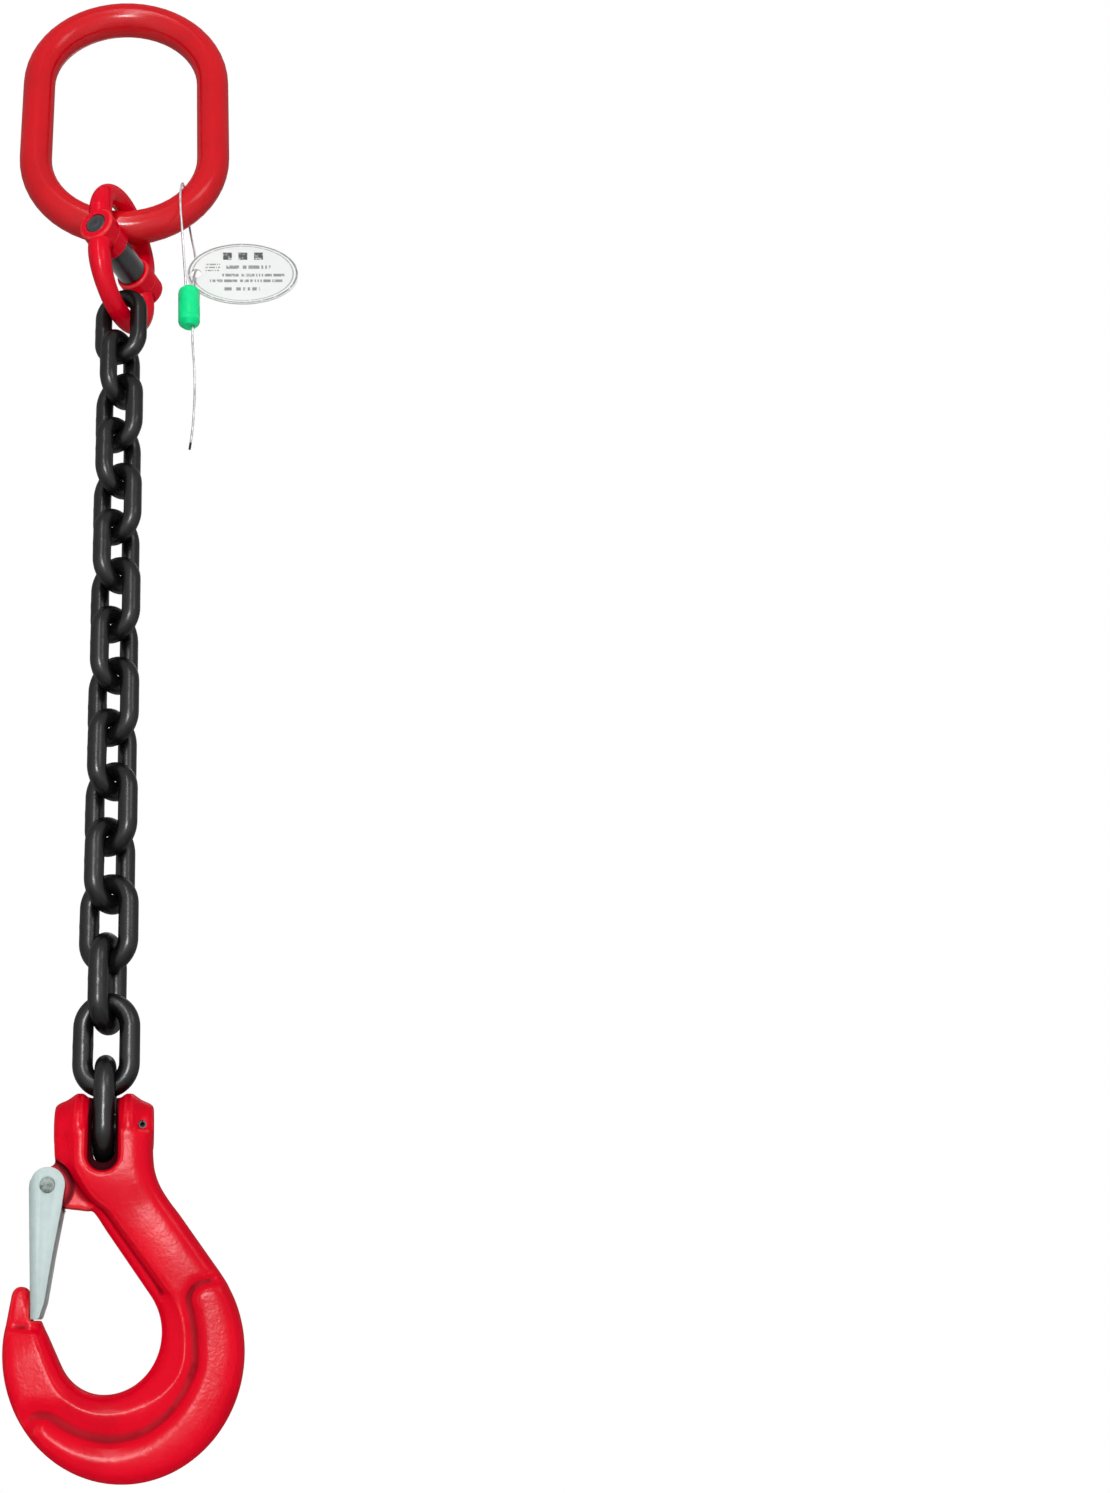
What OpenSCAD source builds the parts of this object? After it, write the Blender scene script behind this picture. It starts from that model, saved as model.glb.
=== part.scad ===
// Single-leg lifting chain: an oblong master link, a two-part coupling link, a run of round-steel
// chain and a clevis hook with a sprung safety latch, with an identification tag on a sealed wire.
// Millimetres, +Z up. The origin is where a crane hook bears inside the top of the master link,
// and everything hangs plumb below it. X runs across the hook's face, Y through its thickness.

/* [Master link] */
// Diameter of the master link's round bar
master_bar = 16; // [12:1:18]
// Inside width of the master link
master_inner_w = 72; // [64:1:90]
// Inside length of the master link
master_inner_l = 120; // [105:1:150]

/* [Coupling link] */
// Inside length of the coupling link, from bow to bow
coupling_inner_l = 55.5; // [53:0.5:64]
// Inside width of a bow at its crown
bow_inner_w = 34; // [33:1:38]
// Depth of the bow's bar at its crown, in the direction of pull
bow_depth = 10; // [8:0.5:11]
// Breadth of the bow's bar at its crown, across its plane
bow_breadth = 9; // [7:0.5:9]
// Outside diameter of an eye
eye_d = 17; // [15:0.5:18]
// Width of one eye along the pin
eye_w = 8.4; // [7:0.2:9]
// Diameter of the coupling pin
coupling_pin_d = 10; // [8:0.5:11]
// Length of the bush between the eyes
bush_l = 20; // [16:1:24]
// Outside diameter of the bush
bush_d = 14; // [13:0.5:15]

/* [Chain] */
// Diameter of the chain's wire
chain_wire = 8; // [7:0.25:8.25]
// Pitch of the chain, from link to link
chain_pitch = 24; // [22:0.5:30]
// Inside width of a link
link_inner_w = 10.4; // [10.2:0.1:12]
// Number of links
link_count = 16; // [8:2:24]
// Turn of the whole chain about its own length
chain_turn = 40; // [0:1:42]
// Number of joints at the hook's end that share this turn
turn_joints = 4; // [4:1:12]
// Turn of the topmost link the other way, shared by the two joints below it
top_turn = 15; // [0:1:16]

/* [Clevis] */
// Width of the clevis across both ears
clevis_w = 37; // [34:0.5:40]
// Radius of an ear round the load pin, at its crest
ear_r = 12.5; // [11.5:0.25:12.75]
// Width of the slot that takes the last link
slot_w = 12; // [11:0.5:13]
// Depth of the slot below the load pin's axis
slot_depth = 17; // [15.5:0.5:18]
// Diameter of the load pin
load_pin_d = 10; // [8:0.5:10]
// Diameter of the hole for the retaining pin
retainer_d = 3; // [2:0.25:3.5]
// Distance of the retaining pin from the clevis's side
retainer_edge = 4; // [3:0.25:5]

/* [Hook] */
// Reach of the hook, from the load pin's axis to the bottom of its bowl
hook_reach = 92; // [90:0.5:96]
// Radius of the bowl behind its lowest point
bowl_r = 20.5; // [19.5:0.5:21.5]
// Radius of the bowl under the nose
bowl_nose_r = 17; // [16:0.5:18]
// Depth of metal under the bowl
bowl_depth = 28; // [25:0.5:31]
// Radius of the hook's back
back_r = 43; // [42:0.5:44]
// Slant of the shank from the line of pull, in degrees
shank_slant = 36.5; // [34:0.5:38]
// Thickness of the hook at its bowl
hook_thick = 19.6; // [17:0.2:22]
// Height of the raised pad round the back of the bowl, on each face
pad_rise = 1.1; // [0.4:0.1:1.5]

/* [Latch] */
// Distance of the latch's pivot from the line of pull
latch_side = 20; // [19.5:0.25:20.5]
// Distance of the latch's pivot below the load pin's axis
latch_drop = 21.5; // [21:0.25:22]
// Outside width of the latch channel
latch_w = 18; // [16:0.5:19]
// Thickness of the latch's sheet
latch_sheet = 1.5; // [1:0.1:1.8]
// Radius of the latch's head round its pivot
latch_head_r = 6.4; // [5.5:0.1:6.8]
// Diameter of the latch pin
latch_pin_d = 4; // [3:0.25:4.5]
// Thickness of the lug that carries the latch
lug_thick = 10; // [8:0.5:10.5]
// Diameter of the latch spring's wire
spring_wire = 1; // [0.8:0.1:1.2]

/* [Tag and seal] */
// Length of the oval tag
tag_l = 54; // [44:1:60]
// Height of the oval tag
tag_h = 36; // [28:1:38]
// Thickness of the tag
tag_t = 1; // [0.6:0.1:1.2]
// Diameter of the hole in the tag
tag_hole_d = 5; // [4.5:0.25:6]
// Diameter of the barrel seal
seal_d = 10.4; // [9:0.2:11]
// Length of the barrel seal
seal_l = 22; // [16:1:26]
// Chamfer at the ends of the barrel seal
seal_chamfer = 2; // [1:0.25:2.5]
// Diameter of the seal's wire
seal_wire_d = 1.2; // [0.8:0.1:1.4]

/* [Hidden] */
$fn = 64;
// Running gap between pieces that bear on each other and move
run_gap = 0.25;
// A bow that crosses the master bar aslant bears beside its crown, which stands off by this much
bow_gap = 0.95;
// Side gap between neighbouring eyes, the bush and the slots that they turn in
side_gap = 0.3;
// Radial clearance of a pin in its hole
pin_fit = 0.05;
// Small overlap that lets a cut run past a face
past = 1;

function link_name(n) = str("chain_link_", n < 10 ? "0" : "", n);

red = [0.82, 0.05, 0.06];
black = [0.12, 0.12, 0.13];
dark_steel = [0.22, 0.21, 0.21];
zinc = [0.78, 0.8, 0.8];
steel = [0.6, 0.6, 0.6];
green = [0.1, 0.9, 0.5];
white = [0.93, 0.94, 0.93];

// Levels down the sling
bow_top_z = -master_inner_l + bow_gap;
coupling_pin_z = bow_top_z - coupling_inner_l / 2;
bow_bottom_z = bow_top_z - coupling_inner_l;
link_inner_l = chain_pitch + run_gap;
function link_z(n) = bow_bottom_z + run_gap - link_inner_l / 2 - chain_pitch * (n - 1);
hook_z = link_z(link_count) - link_inner_l / 2 + run_gap + load_pin_d / 2;

// The last link stands square to the load pin, each link is square to the next, and the chain's
// turn is shared by the joints nearest the hook, and the turn at its top by two joints.
function links_below(n) = link_count - n;
function link_yaw(n) = (links_below(n) % 2 == 0 ? 90 : 0)
    - chain_turn * min(links_below(n), turn_joints) / turn_joints + top_turn * max(3 - n, 0) / 2;
coupling_yaw = link_yaw(1) + 90;

// Eyes along the coupling pin
inner_eye = bush_l / 2 + side_gap;
outer_eye = inner_eye + eye_w + side_gap;
eyes_end = outer_eye + eye_w;

// A solid through a list of rings, each with the same number of points, closed at both ends
module skin(rings) {
    n = len(rings[0]);
    m = len(rings);
    sides = [for (i = [0:m - 2]) for (j = [0:n - 1]) each [
        [i * n + j, (i + 1) * n + j, (i + 1) * n + (j + 1) % n],
        [i * n + j, (i + 1) * n + (j + 1) % n, i * n + (j + 1) % n]]];
    first = [for (j = [1:n - 2]) [0, j, j + 1]];
    last = [for (j = [1:n - 2]) [(m - 1) * n, (m - 1) * n + j + 1, (m - 1) * n + j]];
    polyhedron(points = [for (r = rings) each r], faces = concat(sides, first, last));
}

// A link of round bar in the XZ plane, centred
module round_link(inner_l, inner_w, bar) {
    bend = (inner_w + bar) / 2;
    straight = inner_l - inner_w;
    for (end = [-1, 1])
        translate([0, 0, end * straight / 2])
            rotate([end * 90, 0, 0])
                rotate_extrude(angle = 180)
                    translate([bend, 0])
                        circle(d = bar);
    for (side = [-1, 1])
        translate([side * bend, 0, 0])
            cylinder(d = bar, h = straight, center = true);
}

module master_link() {
    color(red)
        translate([0, 0, -master_inner_l / 2])
            round_link(master_inner_l, master_inner_w, master_bar);
}

module chain_link(n) {
    color(black)
        translate([0, 0, link_z(n)])
            rotate([0, 0, link_yaw(n)])
                round_link(link_inner_l, link_inner_w, chain_wire);
}

// Frame of the coupling link: its pin along X, the pull along Z
module coupling_frame() {
    translate([0, 0, coupling_pin_z])
        rotate([0, 0, coupling_yaw])
            children();
}

// A cylinder along X from one place to another
module along_x(from, to, d) {
    translate([from, 0, 0])
        rotate([0, 90, 0])
            cylinder(d = d, h = to - from);
}

// The bow rises from the middle of its eyes and turns over the crown. Its section is an ellipse,
// broad at the eyes and narrower at the crown, and it swells outward, so that the inside of the
// crown is one true arc.
bow_inner_r = bow_inner_w / 2;
bow_rise = coupling_inner_l / 2 - bow_inner_r;
eye_mid = (inner_eye + eyes_end) / 2;
eye_half = (eyes_end - inner_eye) / 2;
bow_sides = 16;
bow_steps = 18;
leg_depth = bow_depth / 2 + 0.8;
leg_breadth = bow_breadth / 2 + 0.8;
function bow_ring(centre, along, a, b) = [for (k = [0:bow_sides - 1])
    centre + a * cos(360 * k / bow_sides) * along - b * sin(360 * k / bow_sides) * [0, 1, 0]];
function bow_leg_ring(side, s) = let (
    half = eye_half - 0.4 + (leg_depth - eye_half + 0.4) * s,
    mid = eye_mid + (bow_inner_r + leg_depth - eye_mid) * s
) bow_ring([side * mid, 0, bow_rise * s], [-side, 0, 0], half, leg_breadth + 0.6 * (1 - s));
function bow_crown_ring(turn) = let (
    swell = pow(abs(cos(turn)), 5),
    half = bow_depth / 2 + (leg_depth - bow_depth / 2) * swell,
    r = bow_inner_r + half
) bow_ring([r * cos(turn), 0, bow_rise + r * sin(turn)], [-cos(turn), 0, -sin(turn)], half,
    bow_breadth / 2 + (leg_breadth - bow_breadth / 2) * swell);

module coupling_bow() {
    skin(concat(
        [bow_leg_ring(1, 0), bow_leg_ring(1, 0.5)],
        [for (k = [0:bow_steps]) bow_crown_ring(180 * k / bow_steps)],
        [bow_leg_ring(-1, 0.5), bow_leg_ring(-1, 0)]));
}

// Both halves are one forging: an outer eye on one side and an inner eye on the other, with a round
// slot beside each for the other half's eye to turn in.
module coupling_half() {
    slot_d = eye_d + 2 * side_gap;
    difference() {
        union() {
            coupling_bow();
            along_x(inner_eye, eyes_end, eye_d);
            along_x(-eyes_end, -inner_eye, eye_d);
        }
        along_x(-inner_eye - eye_w - side_gap, -inner_eye + past, slot_d);
        along_x(inner_eye + eye_w, eyes_end + past, slot_d);
        along_x(-eyes_end - past, eyes_end + past, coupling_pin_d + 2 * pin_fit);
    }
}

module coupling_upper_half() {
    color(red)
        coupling_frame()
            coupling_half();
}

module coupling_lower_half() {
    color(red)
        coupling_frame()
            rotate([0, 180, 0])
                coupling_half();
}

module coupling_pin() {
    color(dark_steel)
        coupling_frame()
            along_x(-eyes_end, eyes_end, coupling_pin_d);
}

module coupling_bush() {
    color(dark_steel)
        coupling_frame()
            difference() {
                along_x(-bush_l / 2, bush_l / 2, bush_d);
                along_x(-bush_l / 2 - past, bush_l / 2 + past, coupling_pin_d + 2 * pin_fit);
            }
}

// Hook outline in its own plane, [x, z] from the load pin's axis. The bowl is two arcs that share
// their lowest point, the back is one arc, and the shank's edges run off both at the shank's slant.
side_x = clevis_w / 2;
bowl_x = 1.5;
back_x = 8.5;
bowl_c = [bowl_x, -hook_reach + bowl_r];
bowl_nose_c = [bowl_x, -hook_reach + bowl_nose_r];
back_c = [back_x, -hook_reach - bowl_depth + back_r];
nose_turn = -154;
function on_arc(c, r, a) = c + r * [cos(a), sin(a)];
function bowl_at(a) = a >= -90 ? on_arc(bowl_c, bowl_r, a) : on_arc(bowl_nose_c, bowl_nose_r, a);
function back_at(a) = on_arc(back_c, back_r, a);
shank_up = [-sin(shank_slant), cos(shank_slant)];
nose_start = bowl_at(nose_turn);
shank_inner_l = 36;
shank_outer_l = 25;
shank_steps = 4;
pad_turn = 30;
bowl_steps = 20;
bowl_turns = concat([shank_slant, pad_turn + 1.5, pad_turn],
    [for (k = [1:bowl_steps]) pad_turn + (nose_turn - pad_turn) * k / bowl_steps]);

// The latch's web, the seat that its lower end closes on, and its lean between the two
latch_web_x = -latch_head_r - 0.6;
latch_stop_z = -hook_reach + 24.35;
latch_stop_x = -25;
latch_tip_z = latch_stop_z + latch_drop + 0.5;
latch_tip_x = latch_stop_x + latch_side + run_gap;
latch_lean = atan((latch_tip_x - latch_web_x) / -latch_tip_z);
seat_l = 10;
seat_h = 16;

// The nose ends in a rounded tip, beside the latch's lower end
tip_w = 3.5;
tip_h = 4;
tip_c = [latch_stop_x - 0.2 - tip_w, latch_stop_z + 7.65];

// Each station is [inner edge, outer edge]
neck_side = side_x - 0.3;
neck = [
    [[-neck_side, -2], [neck_side, -2]],
    [[-neck_side, -8], [neck_side, -8]],
    [[-side_x + 1.2, -14.5], [side_x + 0.4, -15]],
    [[-side_x + 4.8, -20.5], [side_x + 2.4, -21]],
    [[-side_x + 9.2, -26], [side_x + 5.8, -26.4]]
];
shank = [for (k = [shank_steps:-1:1])
    [bowl_at(shank_slant) + shank_inner_l * k / shank_steps * shank_up,
     back_at(shank_slant) + shank_outer_l * k / shank_steps * shank_up]];
bowl = [for (a = bowl_turns) [bowl_at(a), back_at(a)]];
nose = [for (s = [0.2, 0.4, 0.6, 0.8])
    [nose_start + s * (tip_c + [tip_w, 0] - nose_start), back_at(nose_turn - 49 * s)]];
tip = [for (a = [0, 25, 50, 72])
    [tip_c + [tip_w * cos(a), tip_h * sin(a)], tip_c + [-tip_w * cos(a), tip_h * sin(a)]]];
stations = concat(neck, shank, bowl, nose, tip);
shank_first = len(neck);
bowl_first = shank_first + shank_steps;
pad_first = bowl_first + 2;
pad_last = pad_first + 18;
nose_first = bowl_first + len(bowl);
tip_first = nose_first + len(nose);
last_station = len(stations) - 1;

// Section at a station, as half thicknesses: inner edge, strip along it, where the strip ends as a
// share of the depth, face, where the pad begins, height of the pad, shoulder and outer edge
half_t = hook_thick / 2;
strip_half = lug_thick / 2;
section_table = [
    [0, 6.8, 8.4, 0.2, 10.6, 0.6, 0, 8, 6.8],
    [1, 7.2, 9.2, 0.2, 12.2, 0.6, 0, 9, 7.2],
    [2, 5, 8, 0.2, 11.7, 0.5, 0, 9, 6],
    [3, 2.6, strip_half, 0.2, 11.2, 0.4, 0, 8.8, 5],
    [shank_first, 2.6, strip_half, 0.17, half_t + 0.6, 0.36, 0, 8.2, 4.4],
    [bowl_first + 1, 2.8, strip_half, 0.19, half_t - 0.4, 0.36, 0, 7.6, 3.8],
    [pad_first, 2.9, strip_half + 0.2, 0.2, half_t - 0.5, 0.36, 0, 7.6, 3.8],
    [pad_first + 1, 3.4, strip_half + 1, 0.25, half_t - 0.7, 0.42, pad_rise, 8, 4],
    [pad_first + 4, 4, half_t - 2.2, 0.27, half_t - 0.9, 0.46, pad_rise, 8, 4],
    [pad_first + 13, 4.2, half_t - 2.2, 0.16, half_t - 0.9, 0.54, pad_rise, 8, 4],
    [pad_last - 1, 4.2, half_t - 2.2, 0.15, half_t - 0.9, 0.45, pad_rise, 8, 4],
    [pad_last, 4.2, half_t - 2.2, 0.15, half_t - 0.9, 0.45, 0, 7.6, 4],
    [nose_first + 1, 4, half_t - 2.6, 0.16, half_t - 1.4, 0.45, 0, 7, 3.8],
    [tip_first - 1, 4, half_t - 4, 0.18, half_t - 3.4, 0.45, 0, 5.4, 3.6],
    [tip_first, 3.8, half_t - 4.4, 0.18, half_t - 4, 0.45, 0, 5, 3.4],
    [last_station, 1.8, 3, 0.18, 3.4, 0.45, 0, 3, 1.8]
];
groove = 0.9;
function section_value(i, column) = lookup(i, [for (row = section_table) [row[0], row[column]]]);
function half_section(i) = let (
    edge = section_value(i, 1),
    strip = section_value(i, 2),
    flank = section_value(i, 3),
    face = section_value(i, 4),
    pad = section_value(i, 5),
    rise = section_value(i, 6),
    shoulder = section_value(i, 7),
    end = section_value(i, 8)
) [
    [0, edge], [0.3 * flank, edge + 0.75 * (strip - edge)], [0.6 * flank, strip],
    [0.85 * flank, strip + 0.4 * (face - strip)], [flank, face],
    [pad - 0.03, face - groove * rise], [pad + 0.02, face + rise], [0.8, face + rise],
    [0.88, 0.55 * shoulder + 0.45 * (face + rise)], [0.95, shoulder], [1, end]
];
function hook_ring(i) = let (
    inner = stations[i][0],
    outer = stations[i][1],
    section = half_section(i),
    last = len(section) - 1
) [for (k = [0:2 * last + 1]) let (
    row = section[k <= last ? k : 2 * last + 1 - k],
    at = inner + row[0] * (outer - inner)
) [at[0], (k <= last ? 1 : -1) * row[1], at[1]]];

module hook_frame() {
    translate([0, 0, hook_z])
        children();
}

// A cylinder along Y, centred
module along_y(x, z, d, length) {
    translate([x, 0, z])
        rotate([90, 0, 0])
            cylinder(d = d, h = length, center = true);
}

// Crest, waist and shoulder of the two ears, turned about the load pin's axis
module ears() {
    shoulder = side_x - 1.6;
    rotate([0, 90, 0])
        rotate_extrude()
            polygon([[0, -side_x], [ear_r - 4.8, -side_x], [ear_r - 3.6, -shoulder],
                [ear_r - 2.4, -side_x + 4.6], [ear_r, -side_x + 8], [ear_r, -slot_w / 2 - 2],
                [ear_r - 1.6, -slot_w / 2], [ear_r - 1.6, slot_w / 2], [ear_r, slot_w / 2 + 2],
                [ear_r, side_x - 8], [ear_r - 2.4, side_x - 4.6], [ear_r - 3.6, shoulder],
                [ear_r - 4.8, side_x], [0, side_x]]);
}

// The lug is a thin plate that the latch straddles, with a round boss above it
lug_r = -latch_web_x - latch_sheet - side_gap;
module lug() {
    along_y(-latch_side, -latch_drop, 2 * lug_r, lug_thick);
    along_y(-side_x + 2.5, -latch_drop + 1.5, 2 * lug_r + 2.5, lug_thick);
    rotate([90, 0, 0])
        linear_extrude(height = lug_thick, center = true)
            polygon([[-side_x + 1, -latch_drop + 11], [-side_x + 8, -latch_drop + 11],
                [0, -latch_drop - 6], [-side_x + 13.5, -latch_drop - 8.5],
                [-latch_side + 5, -latch_drop - 7.4], [-latch_side + 1, -latch_drop - lug_r]]);
}

module hook_body() {
    color(red)
        hook_frame()
            difference() {
                union() {
                    skin([for (i = [0:last_station]) hook_ring(i)]);
                    ears();
                    lug();
                }
                // Slot for the last link
                translate([-slot_w / 2, -ear_r - past, -slot_depth + slot_w / 2])
                    cube([slot_w, 2 * (ear_r + past), slot_depth + ear_r]);
                along_y(0, -slot_depth + slot_w / 2, slot_w, 2 * (ear_r + past));
                // Load pin, retaining pin and latch pin
                along_x(-side_x - past, side_x + past, load_pin_d + 2 * pin_fit);
                along_y(side_x - retainer_edge, 0, retainer_d, 2 * (ear_r + past));
                along_y(-latch_side, -latch_drop, latch_pin_d + 2 * pin_fit, lug_thick + 2 * past);
                // Seat that the latch closes on, its wall leaning with the latch
                rotate([90, 0, 0])
                    linear_extrude(height = 2 * hook_thick, center = true)
                        polygon([[latch_stop_x, latch_stop_z], [latch_stop_x + seat_l, latch_stop_z],
                            [latch_stop_x + seat_l, latch_stop_z + seat_h],
                            [latch_stop_x - seat_h * tan(latch_lean), latch_stop_z + seat_h]]);
            }
}

module load_pin() {
    color(dark_steel)
        hook_frame()
            difference() {
                along_x(-side_x + 0.5, side_x - 0.5, load_pin_d);
                along_y(side_x - retainer_edge, 0, retainer_d, load_pin_d + 2 * past);
            }
}

// A rolled spring pin with its slot, just below the ear's faces
module retaining_pin() {
    length = 2 * (ear_r - 3.4);
    wall = 0.6;
    color(dark_steel)
        hook_frame()
            difference() {
                along_y(side_x - retainer_edge, 0, retainer_d, length);
                along_y(side_x - retainer_edge, 0, retainer_d - 2 * wall, length + past);
                translate([side_x - retainer_edge - 0.2, -length, 0])
                    cube([0.4, 2 * length, retainer_d]);
            }
}

// Latch in its own plane, [x, z] from its pivot: head, web side and open side
module latch_side_view() {
    along_y(0, 0, 2 * latch_head_r, latch_w);
    rotate([90, 0, 0])
        linear_extrude(height = latch_w, center = true)
            latch_outline();
}

module latch_outline() {
    polygon([[latch_web_x + 0.4, 1.5], [-latch_head_r * 0.5, latch_head_r * 0.86], [latch_head_r, 0],
        [latch_head_r - 1, -8], [latch_head_r - 3.8, -24], [0.2, latch_tip_z + 5.5],
        [-1.4, latch_tip_z + 0.6], [-2, latch_tip_z], [latch_tip_x, latch_tip_z],
        [latch_web_x, -6], [latch_web_x, -1.5]]);
}

// Section of the pressed channel, web on the left, with its bends rounded
module channel(width, depth, bend) {
    translate([bend, -width / 2])
        square([depth - bend, width]);
    translate([0, -width / 2 + bend])
        square([bend, width - 2 * bend]);
    for (side = [-1, 1])
        translate([bend, side * (width / 2 - bend)])
            circle(r = bend);
}

module latch() {
    bend = 3;
    reach = 40;
    below = 60;
    color(zinc)
        hook_frame()
            translate([-latch_side, 0, -latch_drop])
                difference() {
                    intersection() {
                        latch_side_view();
                        rotate([0, -latch_lean, 0])
                            translate([latch_web_x, 0, -below])
                                linear_extrude(height = below + reach / 2)
                                    difference() {
                                        channel(latch_w, reach, bend);
                                        translate([latch_sheet, 0])
                                            channel(latch_w - 2 * latch_sheet, reach,
                                                bend - latch_sheet);
                                    }
                    }
                    along_y(0, 0, latch_pin_d + 2 * pin_fit, latch_w + past);
                }
}

// A rivet with low heads
module latch_pin() {
    head_r = latch_pin_d / 2 + 0.9;
    head_t = 0.9;
    half = latch_w / 2;
    color(zinc)
        hook_frame()
            translate([-latch_side, 0, -latch_drop])
                rotate([90, 0, 0])
                    rotate_extrude()
                        polygon([[0, -half - head_t - 0.1], [head_r - 0.7, -half - head_t - 0.1],
                            [head_r, -half - 0.1], [latch_pin_d / 2, -half - 0.1],
                            [latch_pin_d / 2, half + 0.1], [head_r, half + 0.1],
                            [head_r - 0.7, half + head_t + 0.1], [0, half + head_t + 0.1]]);
}

wire_sides = 8;

// Torsion spring between the lug and the latch's cheek. Its coil and the leg on the hook are one
// solid, and the leg that follows the latch is the other.
spring_r = latch_pin_d / 2 + spring_wire / 2 + 0.5;
spring_y = lug_thick / 2 + spring_wire / 2 + 0.15;
spring_pitch = spring_wire + 0.05;
spring_turn_1 = -60;
spring_turn_2 = 330;
function coil_at(a) = [spring_r * cos(a), spring_y + spring_pitch * (a - spring_turn_1) / 360,
    spring_r * sin(a)];
spring_start = [0.2, 1, 0.1];
// Ends of the two legs, in the latch's plane. The second leg starts clear of the coil.
coil_leg_end = [5.6, -8.6];
arm_leg_start = 2.1;
arm_leg_l = 17;

module latch_spring_coil() {
    first = coil_at(spring_turn_1);
    leg_end = [coil_leg_end[0], first[1], coil_leg_end[1]];
    turns = [for (a = [spring_turn_1:15:spring_turn_2]) coil_at(a)];
    color(steel)
        hook_frame()
            translate([-latch_side, 0, -latch_drop])
                skin(tube_rings(concat([leg_end, (leg_end + first) / 2], turns), spring_start,
                    spring_wire / 2, wire_sides));
}

module latch_spring_arm() {
    last = coil_at(spring_turn_2);
    color(steel)
        hook_frame()
            translate([-latch_side, 0, -latch_drop])
                skin(tube_rings([for (s = [arm_leg_start, arm_leg_l / 3, arm_leg_l * 2 / 3, arm_leg_l])
                    last + s * [-0.16, 0, -1]], spring_start, spring_wire / 2, wire_sides));
}

// Places of the seal and of the tag, whose hole hangs on the wire
seal_x = 32;
seal_top = -164;
wire_half_gap = 1.6;
tag_hole = [35.5, 6.5, -149.85];
tag_hole_edge = 4.5;

module tag_plate() {
    color(white)
        translate([tag_hole[0] - tag_hole_edge + tag_l / 2, tag_hole[1], tag_hole[2]])
            rotate([90, 0, 0])
                difference() {
                    linear_extrude(height = tag_t, center = true)
                        polygon([for (a = [0:5:355]) [tag_l / 2 * cos(a), tag_h / 2 * sin(a)]]);
                    translate([-tag_l / 2 + tag_hole_edge, 0, 0])
                        cylinder(d = tag_hole_d, h = 3 * tag_t, center = true);
                }
}

module seal_body() {
    wire_hole = seal_wire_d + 0.3;
    color(green)
        translate([seal_x, 0, seal_top - seal_l])
            difference() {
                rotate_extrude()
                    polygon([[0, 0], [seal_d / 2 - seal_chamfer, 0], [seal_d / 2, seal_chamfer],
                        [seal_d / 2, seal_l - seal_chamfer], [seal_d / 2 - seal_chamfer, seal_l],
                        [0, seal_l]]);
                translate([-wire_half_gap, 0, 0.4 * seal_l])
                    cylinder(d = wire_hole, h = seal_l);
                translate([wire_half_gap, 0, -past])
                    cylinder(d = wire_hole, h = seal_l + 2 * past);
            }
}

// Route of the wire: out of the seal, up and over the master bar, down behind it, forward through
// the tag's hole, through the seal and down to its cut end
wire_route = [
    [30.4, 0, -176], [30.4, 0, -170], [30.4, 0, -164], [30.2, -1, -158], [29.4, -4.5, -147],
    [28.6, -8, -135], [28, -9.6, -126], [27.8, -9.6, -118], [28.1, -8.6, -110.6],
    [28.8, -5.2, -105], [29.5, 0, -102.8], [30.3, 5, -104], [31, 8.4, -108.2], [31.8, 9.6, -115],
    [33, 9.8, -124], [34.6, 10.2, -133], [35.5, 10.2, -141.5], [35.6, 8.9, -146.8],
    [35.5, 6.5, -148.6], [35.2, 4.1, -150.4], [34.5, 1.9, -155], [33.9, 0.4, -160],
    [33.6, 0, -164], [33.6, 0, -171], [33.6, 0, -179],
    [33.6, 0, -187], [33.7, 0.2, -196], [34.3, 0.5, -207], [34.6, 0.6, -219], [34.3, 0.5, -231],
    [33.5, 0.1, -243], [32.2, -0.4, -254]
];
wire_steps = 2;
function spline(a, b, c, d, s) = 0.5 * (2 * b + (c - a) * s + (2 * a - 5 * b + 4 * c - d) * s * s
    + (3 * b - a - 3 * c + d) * s * s * s);
function smooth(route) = let (last = len(route) - 1) concat(
    [for (i = [0:last - 1]) for (k = [0:wire_steps - 1])
        spline(route[max(i - 1, 0)], route[i], route[i + 1], route[min(i + 2, last)],
            k / wire_steps)],
    [route[last]]);
function tube_ring(p, t, start, r, n) = let (
    side = cross(t, start),
    u = side / norm(side),
    v = cross(t, u) / norm(t)
) [for (k = [0:n - 1]) p + r * (cos(360 * k / n) * u + sin(360 * k / n) * v)];
function tube_rings(path, start, r, n) = let (last = len(path) - 1) [for (i = [0:last])
    tube_ring(path[i], path[min(i + 1, last)] - path[max(i - 1, 0)], start, r, n)];

module seal_wire() {
    color(steel)
        skin(tube_rings(smooth(wire_route), [1, 0, 0], seal_wire_d / 2, wire_sides));
}

master_link();
coupling_upper_half();
coupling_lower_half();
coupling_pin();
coupling_bush();
for (n = [1:link_count])
    chain_link(n);
hook_body();
load_pin();
retaining_pin();
latch();
latch_pin();
latch_spring_coil();
latch_spring_arm();
tag_plate();
seal_body();
seal_wire();
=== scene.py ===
# %% [markdown]
# # A lifting chain, dressed for its picture
# The real object is a single-leg chain sling: an oblong master link, a hinged coupling link,
# sixteen links of round steel, and a clevis hook with a sprung latch. The frame already holds each
# piece as a solid in its true place. This lesson gives those solids the look of gloss red enamel,
# black chain, zinc plate and seal wire, and it starts by loading them.

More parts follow.
